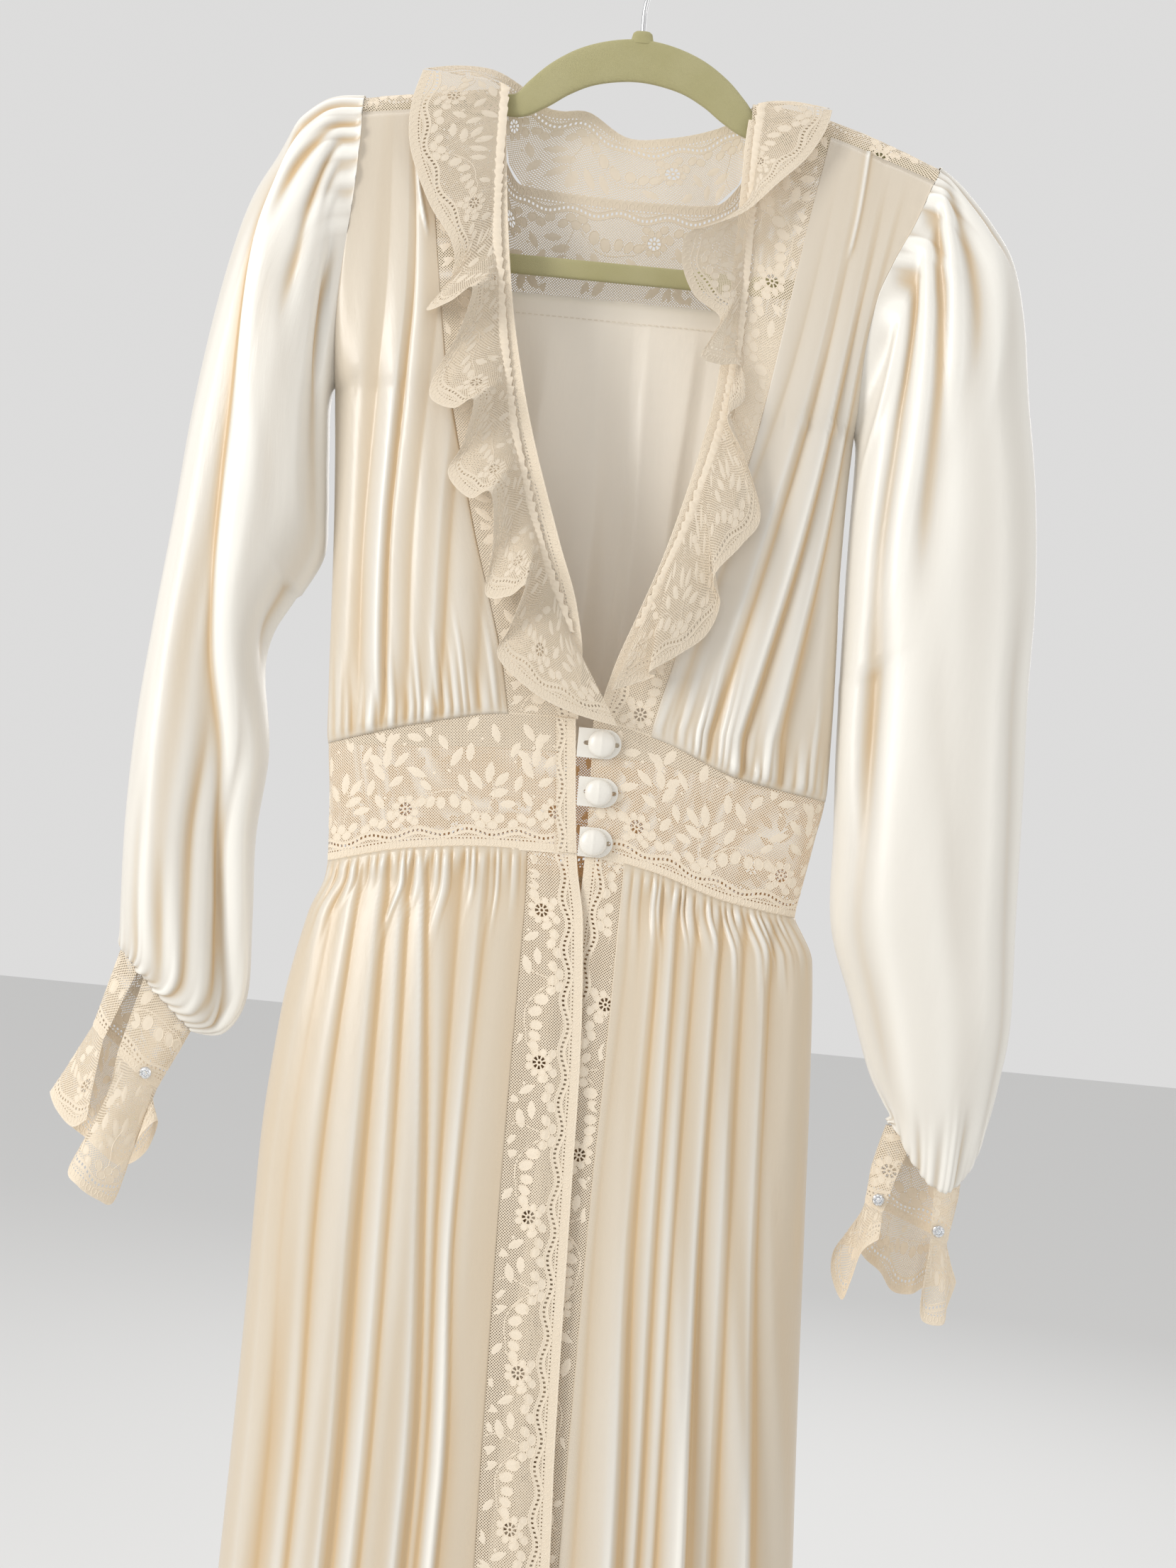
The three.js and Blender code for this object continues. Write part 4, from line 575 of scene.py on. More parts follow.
def resample(grid, down, across):
    by_row, by_column = weights(grid.shape[0], down), weights(grid.shape[1], across)
    return np.einsum("ri,cj,ij...->rc...", by_row, by_column, grid, optimize=True)


def normals(grid, closed=False):
    """Unit normals of a grid of points, along the cross product of its across and down directions."""
    if closed:
        wide = np.concatenate([grid[:, -1:], grid, grid[:, :1]], axis=1)
        across = (wide[:, 2:] - wide[:, :-2]) / 2
    else:
        across = np.gradient(grid, axis=1)
    normal = np.cross(across, np.gradient(grid, axis=0))
    return normal / np.maximum(np.linalg.norm(normal, axis=2, keepdims=True), 1e-9)


class Cloth:
    """A grid of points in rows (down) and columns (across), with its own flat coordinates in millimetres."""

    def __init__(self, points, across, down, closed=False):
        self.points, self.across, self.down, self.closed = points, across, down, closed
        self.relief = np.zeros(points.shape[:2])
        self.normal = normals(points, closed)

    def raise_by(self, height, face=None):
        """Moves the points along their normals; face says which way is out: -1 front, 1 back."""
        normal = self.normal
        if face is not None:
            normal = normal * np.where(normal[..., 1:2] * face < 0, -1, 1)
        self.points = self.points + normal * height[..., None]
        self.relief = self.relief + height
        self.normal = normals(self.points, self.closed)
        return self

    def flat(self):
        """Flat coordinates: how far each point lies along its row and along its column."""
        wide = self.points
        if self.closed:
            wide = np.concatenate([wide, wide[:, :1]], axis=1)
        u = np.linalg.norm(np.diff(wide, axis=1), axis=2)
        u = np.concatenate([np.zeros((len(wide), 1)), np.cumsum(u, axis=1)], axis=1)
        v = np.linalg.norm(np.diff(wide, axis=0), axis=2)
        v = np.concatenate([np.zeros((1, wide.shape[1])), np.cumsum(v, axis=0)], axis=0)
        return u, v

    def at(self, across, down, lift=0.0):
        """Points on the cloth at the shares across and down, moved out along the normal by lift."""
        rows_at = np.interp(down, self.down, np.arange(len(self.down)))
        columns_at = np.interp(across, self.across, np.arange(len(self.across)))
        j = np.clip(rows_at.astype(int), 0, len(self.down) - 2)
        i = np.clip(columns_at.astype(int), 0, len(self.across) - 2)
        s, t = (columns_at - i)[..., None], (rows_at - j)[..., None]

        def blend(grid):
            return mix(mix(grid[j, i], grid[j, i + 1], s), mix(grid[j + 1, i], grid[j + 1, i + 1], s), t)

        return blend(self.points) + blend(self.normal) * np.asarray(lift)[..., None]


def grid_of(cloth):
    return cloth.points[..., 0], cloth.points[..., 2], cloth.across[None, :], cloth.down[:, None]


def seam_level(surface, start, end, seam, across):
    """The height of a sloping seam at equal shares of the cloth's own width."""
    z = seam((start(seam(0.0)) + end(seam(0.0))) / 2) * np.ones_like(across)
    for _ in range(4):
        z = seam(along_section(surface, start(z), end(z), z, across))
    return z


def panel(surface, start, end, top, bottom, across, down, spread=lambda t: t):
    """Cloth that hangs between two edges and two seams, with across columns and down rows of points."""
    coarse = even(61)
    top_z = seam_level(surface, start, end, top, coarse)
    bottom_z = seam_level(surface, start, end, bottom, coarse)
    z = mix(top_z, bottom_z, spread(coarse)[:, None])
    x = along_section(surface, start(z), end(z), z, coarse[None, :])
    grid = np.stack([x, surface(x, z), z], axis=2)
    return Cloth(resample(grid, even(down), even(across)), even(across), even(down))


# ---- meshes ----
def mesh_object(name, points, faces, uv, material, body="root", shade=None, smooth=True):
    """A mesh object in metres from millimetre points; faces is a list of arrays of corner indices."""
    mesh = bpy.data.meshes.new(name)
    corners = np.concatenate([block.reshape(-1) for block in faces])
    sizes = np.concatenate([np.full(len(block), block.shape[1]) for block in faces])
    mesh.vertices.add(len(points))
    mesh.vertices.foreach_set("co", (points * MM).astype(np.float32).reshape(-1))
    mesh.loops.add(len(corners))
    mesh.loops.foreach_set("vertex_index", corners.astype(np.int32))
    mesh.polygons.add(len(sizes))
    mesh.polygons.foreach_set("loop_start", (np.cumsum(sizes) - sizes).astype(np.int32))
    mesh.update(calc_edges=True)
    layer = mesh.uv_layers.new(name="flat")
    layer.data.foreach_set("uv", (uv[corners] * MM).astype(np.float32).reshape(-1))
    if shade is not None:
        attribute = mesh.attributes.new("shade", "FLOAT", "POINT")
        attribute.data.foreach_set("value", shade.astype(np.float32).reshape(-1))
    mesh.polygons.foreach_set("use_smooth", np.full(len(sizes), smooth))
    mesh.validate()
    piece = bpy.data.objects.new(name, mesh)
    bpy.context.scene.collection.objects.link(piece)
    piece.data.materials.append(material)
    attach(piece, body)
    return piece


def cloth_object(name, cloth, material, thickness=None, shade=None, uv=None):
    """The mesh of a Cloth, open at its edges, or a thin closed shell where thickness is given."""
    count_down, count_across = cloth.points.shape[:2]
    u, v = cloth.flat() if uv is None else uv
    points = cloth.points
    shade_values = cloth.relief if shade is None else shade
    if cloth.closed:
        points = np.concatenate([points, points[:, :1]], axis=1)
        shade_values = np.concatenate([shade_values, shade_values[:, :1]], axis=1)
        v = np.concatenate([v, v[:, :1]], axis=1)[:, : count_across + 1]
        count_across += 1
    index = np.arange(count_down * count_across).reshape(count_down, count_across)
    quads = np.stack([index[:-1, :-1], index[:-1, 1:], index[1:, 1:], index[1:, :-1]], axis=-1)
    flat = np.stack([u, v], axis=2).reshape(-1, 2)
    faces = [quads.reshape(-1, 4)]
    piece = mesh_object(name, points.reshape(-1, 3), faces, flat, material, shade=shade_values)
    if thickness:
        solidify = piece.modifiers.new("thickness", "SOLIDIFY")
        solidify.thickness = thickness * MM
        solidify.offset = 0
    return piece


# ---- materials ----
class Nodes:
    """A small helper for procedural materials. A value is a number, a colour or another node's output."""

    def __init__(self, name):
        self.material = bpy.data.materials.new(name)
        self.material.use_nodes = True
        self.tree = self.material.node_tree
        self.shader = self.tree.nodes["Principled BSDF"]

    def new(self, kind):
        return self.tree.nodes.new("ShaderNode" + kind)

    def fill(self, socket, value):
        if isinstance(value, tuple):
            socket.default_value = (*value, 1)
        elif isinstance(value, (int, float)):
            socket.default_value = value
        elif value is not None:
            self.tree.links.new(value, socket)

    def math(self, operation, *values):
        node = self.new("Math")
        node.operation = operation
        for socket, value in zip(node.inputs, values):
            self.fill(socket, value)
        return node.outputs[0]

    def largest(self, first, *others):
        for other in others:
            first = self.math("MAXIMUM", first, other)
        return first

    def distance(self, a, b):
        return self.math("SQRT", self.math("ADD", self.math("MULTIPLY", a, a), self.math("MULTIPLY", b, b)))

    def repeated(self, value, pitch):
        """How far value is from the middle of the repeat that it falls in."""
        part = self.math("FRACT", self.math("DIVIDE", value, pitch))
        return self.math("MULTIPLY", self.math("SUBTRACT", part, 0.5), pitch)

    def parts(self, vector):
        split = self.new("SeparateXYZ")
        self.fill(split.inputs[0], vector)
        return split.outputs

    def uv(self, across, down):
        """The cloth's own flat coordinates, at so many units a metre across and down."""
        coordinates, mapping = self.new("UVMap"), self.new("Mapping")
        coordinates.uv_map = "flat"
        mapping.inputs["Scale"].default_value = (across, down, 1)
        self.fill(mapping.inputs["Vector"], coordinates.outputs[0])
        return mapping.outputs[0]

    def noise(self, vector, scale=1.0, detail=3.0, rough=0.5):
        node = self.new("TexNoise")
        sockets = {"Scale": scale, "Detail": detail, "Roughness": rough, "Vector": vector}
        for socket, value in sockets.items():
            self.fill(node.inputs[socket], value)
        return node.outputs[0]

    def object_noise(self, scale, detail=2):
        return self.noise(self.new("TexCoord").outputs["Object"], scale, detail)

    def ramp(self, value, stops):
        node = self.new("ValToRGB")
        elements = node.color_ramp.elements
        while len(elements) < len(stops):
            elements.new(0.5)
        for element, (place, color) in zip(elements, stops):
            element.position = place
            element.color = (*color, 1)
        self.fill(node.inputs[0], value)
        return node.outputs[0]

    def blend(self, factor, a, b):
        node = self.new("Mix")
        node.data_type = "RGBA"
        for socket, value in ((0, factor), (6, a), (7, b)):
            self.fill(node.inputs[socket], value)
        return node.outputs[2]

    def bump(self, height, distance, strength, under=None):
        node = self.new("Bump")
        sockets = {"Strength": strength, "Distance": distance, "Height": height, "Normal": under}
        for socket, value in sockets.items():
            self.fill(node.inputs[socket], value)
        return node.outputs[0]

    def set(self, **values):
        for key, value in values.items():
            self.fill(self.shader.inputs[key.replace("_", " ")], value)


# the satin's ramp: its own ivory, a painted highlight for ridges and sides turned to the light, and painted
# warm shade and deeper painted valley shade for valleys and sides turned from it
SATIN_LIGHT = (0.75, 0.71, 0.64)
SATIN_PAINTED_HIGHLIGHT = (0.93, 0.905, 0.84)
SATIN_PAINTED_SHADE = (0.67, 0.575, 0.445)
SATIN_PAINTED_VALLEY_SHADE = (0.64, 0.46, 0.26)
# painted light: the inner side of the bodice's back, painted lighter and warmer than the light inside the
# gown leaves it
SATIN_INSIDE = (0.97, 0.90, 0.79)
LACE_LIGHT = (0.86, 0.75, 0.60)
LACE_DEEP = (0.80, 0.68, 0.515)
# painted warm shade for the inner sides of the lace waistband's back and of the skirt's back, seen between
# the fronts
LACE_SHADED = (0.97, 0.63, 0.33)
SATIN_SHADED = (0.95, 0.72, 0.46)
THREAD_LIGHT = (0.865, 0.76, 0.615)
THREAD_DEEP = (0.825, 0.715, 0.565)
STITCH = (0.66, 0.56, 0.43)
VELVET_DEEP = (0.35, 0.32, 0.13)
VELVET_LIGHT = (0.47, 0.435, 0.24)
VELVET_NAP = (0.59, 0.55, 0.37)
VELVET_SHEEN = (0.9, 0.88, 0.66)
CHROME = (0.72, 0.72, 0.73)
STONE_DEEP = (0.80, 0.86, 0.92)
STONE_LIGHT = (0.97, 0.98, 1.0)
BLACK = (0.0, 0.0, 0.0)
# painted shade: the share to which the lace round the neck is painted darker
NECK_PAINTED_SHADE = 0.87
# the ramp's stops, from painted valley shade through the satin's own ivory to painted highlight
SATIN_PAINTED_LIGHT_STOPS = [(0.06, SATIN_PAINTED_VALLEY_SHADE), (0.37, SATIN_PAINTED_SHADE), (0.6, SATIN_LIGHT), (0.88, SATIN_PAINTED_HIGHLIGHT)]
# how often each pattern of a fabric comes in a metre, across and down
SATIN_GRAIN = {"cloud": (9, 4), "crinkle": (46, 12), "slub": (420, 60), "weave": (1400, 3600)}
LACE_GRAIN = {"cloud": (60, 60), "thread_cloud": (80, 80), "twist": (2200, 700)}


def mix_color(a, b, t):
    return tuple(x + (y - x) * t for x, y in zip(a, b))


def toward_front(n):
    """1 where the surface faces the front, as the inner side of the gown's back does, and 0 elsewhere; it
    places the painted light and painted shade of the inner sides.
    """
    return n.math("LESS_THAN", n.parts(n.new("NewGeometry").outputs["Normal"])[1], 0)


def satin_material(name="satin", inside=None):
    """Ivory satin: painted highlight on its ridges, painted warm shade in its valleys, a fine weave and soft
    crinkles, and on its inner side the colour inside: painted light on the bodice's back, painted warm shade
    on the skirt's back.
    """
    n = Nodes(name)
    cloud = n.noise(n.uv(*SATIN_GRAIN["cloud"]))
    # the shade attribute from the relief picks the painted highlight or painted shade along the ramp
    shade = n.new("Attribute")
    shade.attribute_name = "shade"
    level = n.math("MULTIPLY_ADD", shade.outputs["Fac"], 0.5, 0.5)
    level = n.math("ADD", level, n.math("MULTIPLY_ADD", cloud, 0.16, -0.08))
    tone = n.ramp(level, SATIN_PAINTED_LIGHT_STOPS)
    if inside:
        tone = n.blend(toward_front(n), tone, inside)
    n.set(Base_Color=tone, Roughness=0.32, Specular_IOR_Level=0.65, Sheen_Weight=0.12, Sheen_Roughness=0.4)
    crinkle = n.bump(n.noise(n.uv(*SATIN_GRAIN["crinkle"]), detail=4, rough=0.55), 0.0012, 0.5)
    slub = n.bump(n.noise(n.uv(*SATIN_GRAIN["slub"]), detail=2), 0.00008, 0.5, crinkle)
    n.set(Normal=n.bump(n.noise(n.uv(*SATIN_GRAIN["weave"]), detail=1), 0.00003, 0.5, slub))
    return n.material


def net_holes(n, s, t):
    """0 along the two crossing sets of the net's threads, rising to 1 in the middle of its holes."""
    turn = math.pi / LACE["net"]
    crossing = [n.math("MULTIPLY", n.math(way, s, t), turn) for way in ("ADD", "SUBTRACT")]
    return n.math("MINIMUM", *(n.math("ABSOLUTE", n.math("SINE", angle)) for angle in crossing))


def ladder_work(n, s, t):
    """The waving ladder along the worked edge: its two tapes with what lies between, and its openings."""
    wave = n.math("SINE", n.math("MULTIPLY", s, 2 * math.pi / LACE["wavelength"]))
    middle = n.math("MULTIPLY_ADD", wave, LACE["wave"], LACE["ladder"])
    band = n.math("ABSOLUTE", n.math("SUBTRACT", t, middle))
    rung = n.math("LESS_THAN", n.math("FRACT", n.math("DIVIDE", s, LACE["rungs"])), LACE["rung"])
    openings = n.math("MULTIPLY", n.math("LESS_THAN", band, LACE["holes"]), rung)
    return n.math("LESS_THAN", band, LACE["tape"]), openings


def flower_work(n, s, t):
    """One flower in each repeat: its disc, and the eyelets and the eye cut in it."""
    shifted = n.math("ADD", n.math("SUBTRACT", s, LACE["flower_s"]), LACE["repeat"] / 2)
    along = n.repeated(shifted, LACE["repeat"])
    inward = n.math("SUBTRACT", t, LACE["flower_t"])
    radius = n.distance(along, inward)
    petal = n.math("COSINE", n.math("MULTIPLY", n.math("ARCTAN2", inward, along), FLOWER["petals"]))
    outside = n.math("GREATER_THAN", radius, FLOWER["eyelets_from"])
    ring = n.math("MULTIPLY", outside, n.math("LESS_THAN", radius, FLOWER["eyelets_to"]))
    eyelets = n.math("MULTIPLY", ring, n.math("GREATER_THAN", petal, FLOWER["eyelet"]))
    openings = n.largest(eyelets, n.math("LESS_THAN", radius, FLOWER["eye"]))
    return n.math("LESS_THAN", radius, FLOWER["disc"]), openings


def lace_material(name="lace_net", inside=None, depth=1.0):
    """A net of fine threads with clear holes, denser at its worked edge, with a ladder and flower eyelets."""
    n = Nodes(name)
    s, t = n.parts(n.uv(1000, 1000))[:2]
    hole = net_holes(n, s, t)
    tape, ladder = ladder_work(n, s, t)
    disc, eyelets = flower_work(n, s, t)
    worked = n.largest(tape, n.math("LESS_THAN", t, LACE["border"]), disc)
    solid = n.largest(n.math("LESS_THAN", hole, LACE["thread"]), worked)
    pin = n.distance(n.repeated(s, LACE["ring_pitch"] / 2), n.math("SUBTRACT", t, LACE["picot"]))
    openings = n.largest(ladder, eyelets, n.math("LESS_THAN", pin, LACE["pinhole"]))
    cloud = n.noise(n.uv(*LACE_GRAIN["cloud"]))
    # depth below 1 paints these colours darker, as painted shade on the lace round the neck
    deep, light, pale = (mix_color(BLACK, color, depth) for color in (LACE_DEEP, LACE_LIGHT, THREAD_LIGHT))
    tone = n.blend(n.math("MULTIPLY", worked, 0.3), n.blend(cloud, deep, light), pale)
    if inside:
        tone = n.blend(toward_front(n), tone, inside)
    cover = n.math("MULTIPLY", solid, n.math("SUBTRACT", 1, openings))
    n.set(Base_Color=tone, Roughness=0.8, Alpha=cover, Sheen_Weight=0.2, Normal=n.bump(hole, 0.0003, 0.4))
    return n.material


def thread_material(name="lace_thread", inside=None, depth=1.0):
    """The thicker threads of the motifs and cords."""
    n = Nodes(name)
    cloud = n.noise(n.uv(*LACE_GRAIN["thread_cloud"]))
    twist = n.noise(n.uv(*LACE_GRAIN["twist"]), detail=2)
    # depth below 1 paints these colours darker, as painted shade on the lace round the neck
    tone = n.blend(cloud, mix_color(BLACK, THREAD_DEEP, depth), mix_color(BLACK, THREAD_LIGHT, depth))
    if inside:
        tone = n.blend(toward_front(n), tone, inside)
    n.set(Base_Color=tone, Roughness=0.7, Sheen_Weight=0.3, Normal=n.bump(twist, 0.0002, 0.6))
    return n.material


def velvet_material():
    """Sage-green pile with pale nap and worn patches."""
    n = Nodes("velvet")
    nap = n.object_noise(3000)
    tone = n.blend(n.object_noise(28, 4), VELVET_DEEP, VELVET_LIGHT)
    tone = n.blend(n.math("MULTIPLY", nap, 0.3), tone, VELVET_NAP)
    n.set(Base_Color=tone, Roughness=0.95, Sheen_Weight=0.45, Sheen_Roughness=0.4, Sheen_Tint=VELVET_SHEEN)
    n.set(Normal=n.bump(nap, 0.0005, 0.7))
    return n.material


def chrome_material():
    """Bright wire and settings, a little smeared."""
    n = Nodes("chrome")
    smear = n.math("MULTIPLY_ADD", n.object_noise(90, 3), 0.14, 0.06)
    n.set(Base_Color=CHROME, Metallic=1.0, Roughness=smear)
    return n.material


def stone_material():
    """Clear stones with a cold tint."""
    n = Nodes("stone")
    tone = n.blend(n.object_noise(400), STONE_DEEP, STONE_LIGHT)
    n.set(Base_Color=tone, Roughness=0.03, IOR=1.7, Transmission_Weight=0.5)
    return n.material


def stitch_material():
    """Ivory thread, a little darker than the satin."""
    n = Nodes("stitches")
    n.set(Base_Color=n.blend(n.object_noise(900), STITCH, SATIN_INSIDE), Roughness=0.8)
    return n.material


satin = satin_material()
satin_inside_painted_light = satin_material("satin_inside_painted_light", SATIN_INSIDE)
satin_shaded = satin_material("satin_shaded", SATIN_SHADED)
stitch = stitch_material()
net = lace_material()
net_shaded = lace_material("lace_net_shaded", LACE_SHADED)
thread = thread_material()
thread_shaded = thread_material("lace_thread_shaded", LACE_SHADED)
net_neck_painted_shade = lace_material("lace_net_neck", depth=NECK_PAINTED_SHADE)
thread_neck_painted_shade = thread_material("lace_thread_neck", depth=NECK_PAINTED_SHADE)
velvet = velvet_material()
chrome = chrome_material()
stone = stone_material()


# ---- relief of the cloth ----
def folds(table, x, share):
    """Soft rounded folds, each running straight from its place at the top to its place at the bottom."""
    height = np.zeros(np.broadcast(x, share).shape)
    for fold in table:
        distance = x - mix(fold["top"], fold["bottom"], share)
        flank = np.where(distance < 0, fold["left"], fold["right"])
        height += fold["height"] * np.exp(-((distance / flank) ** 2))
    return height


def line_through(row, places):
    return track([{"at": at, "value": row[name]} for name, at in places.items()], "at", "value")


# pleats higher than this at the bottom have flat sides, the others are soft
FLAT_SIDED = 2.7
# the shares of the drop between which a pleat goes from its high to its low height
PLEAT_GROWTH = (0.08, 0.62)


def plane_fold(t, lean):
    """A fold with a broad flat side and a short steep one, its ridge set by lean."""
    top = 0.5 ** (1 / lean)
    flat = np.minimum(t / top, (1 - t) / (1 - top))
    return flat * (1.4 - 0.4 * flat)


def pleats(table, levels, x, z):
    """Folds between valleys: the high ones with flat sides, the low ones soft."""
    lines = [line_through(row, levels)(z) for row in table]
    heights = list(levels.values())
    share = ease(*PLEAT_GROWTH, (heights[0] - z) / (heights[0] - heights[-1]))
    total = np.zeros_like(x)
    for row, line, following in zip(table[:-1], lines[:-1], lines[1:]):
        t = (x - line) / np.maximum(following - line, 1)
        inside = np.clip(t, 0, 1)
        soft = np.sin(np.pi * inside ** row["lean"]) ** 1.1
        arch = plane_fold(inside, row["lean"]) if row["low"] > FLAT_SIDED else soft
        total += np.where((t > 0) & (t < 1), mix(row["high"], row["low"], share) * arch, 0)
    return total


def tucks(table, x, z):
    """Thin raised lines where the bodice is stitched down below the shoulder."""
    where = track(table, "z", "x")(z)
    ends = ease(table[-1]["z"], table[-1]["z"] + TUCK["fade"], z)
    return TUCK["height"] * np.exp(-(((x - where) / TUCK["half"]) ** 2)) * ends


# the gathers along each seam: their height and number, the share of the cloth they cover, and their seed
GATHERS = rows(
    "seam height count reach seed",
    ("bodice_left", 2.2, 20, 0.22, 3), ("bodice_right", 2.2, 20, 0.22, 5), ("bodice_back", 2.2, 40, 0.22, 7),
    ("skirt_left", 2.6, 24, 0.2, 11), ("skirt_right", 2.6, 24, 0.2, 13), ("skirt_back", 2.6, 44, 0.2, 17),
    ("sleeve_left", 2.6, 34, 0.24, 19), ("sleeve_right", 2.6, 34, 0.24, 23),
    ("wrist_left", 2.2, 30, 0.2, 29), ("wrist_right", 2.2, 30, 0.2, 31),
)


def gathers(seam, around, down, amount=1):
    """Small uneven gathers that run out from a seam."""
    row = next(row for row in GATHERS if row["seam"] == seam)
    count, reach = row["count"], row["reach"]
    draw = np.random.default_rng(row["seed"])
    edges = np.concatenate([[0], np.cumsum(0.55 + 0.9 * draw.random(count))])
    edges = edges / edges[-1]
    lengths = reach * (0.35 + 0.9 * draw.random(count))
    tall = 0.6 + 0.6 * draw.random(count)
    i = np.clip(np.searchsorted(edges, around, side="right") - 1, 0, count - 1)
    t = (around - edges[i]) / (edges[i + 1] - edges[i])
    arch = np.sin(np.pi * np.clip(t, 0, 1)) ** 0.8
    shape = tall[i] * arch * (1 - ease(0.1 * lengths[i], lengths[i], down))
    return row["height"] * amount * shape


def side_fade(across):
    """Relief fades out at a panel's side seams."""
    return np.sin(np.pi * np.clip(across, 0, 1)) ** 0.5


def bodice_relief(cloth, fold_table, pleat_table, side):
    """Gathers above the waist, soft folds and pleats, all of them eased into the seams."""
    x, z, across, down = grid_of(cloth)
    gathered = gathers("bodice_" + side, across, 1 - down)
    soft = folds(fold_table, x, down) * (0.2 + 0.8 * ease(0.1, 0.6, down)) * (1 - 0.5 * ease(0.8, 1, down))
    small = pleats(pleat_table, BODICE_LEVELS, x, z) * ease(0, 0.12, down)
    return side_fade(across) * (gathered + soft + small) * (1 - 0.85 * ease(0.972, 1, down))


# the height at which the skirt's broad folds start, and the drop in which they get their full height
SKIRT_GROWTH = {"start": -670, "drop": 390}


def skirt_relief(cloth, fold_table, pleat_table, side):
    """Gathers under the waist, pleats, and broad folds that grow on the way down."""
    x, z, across, down = grid_of(cloth)
    level = (z - SKIRT_GROWTH["start"]) / -SKIRT_GROWTH["drop"]
    place = np.maximum(level, 0) ** 1.15
    growth = 0.16 + 0.84 * ease(-0.1, 1.1, level)
    gathered = gathers("skirt_" + side, across, down)
    small = pleats(pleat_table, SKIRT_LEVELS, x, z) * ease(0, 0.05, down)
    broad = 0.35 * folds(fold_table, x, place) * growth
    return side_fade(across) * (gathered + broad + small) * (0.15 + 0.85 * ease(0, 0.035, down))


def creases(table, degrees, place):
    """Ridges and troughs that wander round a sleeve on their way down, each with a start and an end."""
    height = np.zeros(np.broadcast(degrees, place).shape)
    for row in table:
        distance = (degrees - line_through(row, SLEEVE_PLACES)(place) + 180) % 360 - 180
        flank = np.where(distance < 0, row["left"], row["right"]) * (1 + 0.7 * ease(0.1, 0.5, place))
        shape = np.exp(-(np.abs(distance / flank) ** 1.6))
        begun = ease(row["start"] - 0.03, row["start"] + 0.06, place)
        over = ease(row["end"] - 0.08, row["end"] + 0.03, place)
        height += row["height"] * shape * begun * (1 - over)
    return height


def hollows(relief, closed, reach):
    """How each point stands to its neighbours along the row: 1 on a ridge, -1 in a valley."""
    kernel = np.hanning(2 * reach + 3)[1:-1]
    kernel /= kernel.sum()
    pad = np.pad(relief, ((0, 0), (reach, reach)), mode="wrap" if closed else "edge")
    blurred = np.stack([np.convolve(row, kernel, "valid") for row in pad])
    return np.clip((relief - blurred) / HOLLOW["depth"] + HOLLOW["lift"], -1, 1)


def shading(cloth, relief):
    """Painted light: painted warm shade in valleys and on sides turned from the light, painted highlight on
    ridges and on sides turned to it.
    """
    level = hollows(relief, cloth.closed, HOLLOW["reach"])
    if cloth.closed:
        move = np.roll(cloth.points, -1, axis=1) - np.roll(cloth.points, 1, axis=1)
        rise = np.roll(relief, -1, axis=1) - np.roll(relief, 1, axis=1)
    else:
        move, rise = np.gradient(cloth.points, axis=1), np.gradient(relief, axis=1)
    step = np.maximum(np.linalg.norm(move, axis=2), 1e-6)
    slope = rise * move[..., 0] / step**2
    away, toward = np.clip(-slope, 0, SIDE_SHADE["steepest"]), np.clip(slope, 0, SIDE_SHADE["steepest"])
    return level - SIDE_SHADE["away"] * away + SIDE_SHADE["toward"] * toward


def bodice_spread(down):
    """Rows of points that come closer together towards the waist."""
    return 1 - (1 - down) ** 1.15


def skirt_spread(down):
    """Rows of points that come closer together towards the waist."""
    return 0.28 * down + 0.72 * down**2.1


# ---- the bodice ----
def lap_lift(side, z):
    """How far the left front stands off where it lies over the right one."""
    return LAP["lift"] * ease(LAP["lift_start"], LAP["lift_full"], z) if side == "left" else 0 * z


def front_surface(x, z):
    return body_y("front", x, z)


def back_surface(x, z):
    return body_y("back", x, z)


def skirt_front(x, z):
    return skirt_y("front", x, z)


def skirt_back(x, z):
    return skirt_y("back", x, z)


def shoulder_seam(x):
    return ridge(x) - SHOULDER_TURN


def yoke_seam(x):
    return YOKE_Z + 0 * x


def hem(x):
    return HEM_Z + 0 * x


BODICE_FOLDS = {"left": BODICE_FOLDS_LEFT, "right": BODICE_FOLDS_RIGHT}
SKIRT_FOLDS = {"left": SKIRT_FOLDS_LEFT, "right": SKIRT_FOLDS_RIGHT}
BODICE_PLEATS = {"left": BODICE_PLEATS_LEFT, "right": BODICE_PLEATS_RIGHT}
SKIRT_PLEATS = {"left": SKIRT_PLEATS_LEFT, "right": SKIRT_PLEATS_RIGHT}
TUCKS = {"left": TUCK_LEFT, "right": TUCK_RIGHT}
# how far each satin piece moves along the satin's ramp: above 0 cooler and lighter towards the painted
# highlight, below 0 warmer and darker towards the painted shade; it stands both for the piece's own tone and
# for how the light falls on it
PIECE_TONE_AND_PAINTED_LIGHT = {
    "bodice_front_left": -0.3, "bodice_front_right": -0.27, "skirt_front_left": -0.42,
    "skirt_front_right": -0.46, "sleeve_left": 0.12, "sleeve_right": 0.32, "bodice_back": 0.1,
    "skirt_back": -0.1,
}
# where each shoulder strip meets the neck
STRIP_INNER = {"left": -87, "right": 78}
cloths = {}


def shoulder_strip(side):
    """The strip of lace that turns over the hanger, from the neck out to the sleeve."""
    turn = np.pi * (even(21) - 0.5)
    down = even(41)
    level = ridge(sides[side](ARMHOLE["bottom"] / 2)) - SHOULDER_TURN * (1 - np.cos(turn[None, :]))
    x = mix(STRIP_INNER[side], sides[side](level), down[:, None])
    foot = shoulder_seam(x)
    half = np.where(turn[None, :] < 0, np.abs(front_surface(x, foot)), np.abs(back_surface(x, foot)))
    points = np.stack([x, half * np.sin(turn), foot + SHOULDER_TURN * np.cos(turn)], axis=2)
    return Cloth(points, even(21), down)


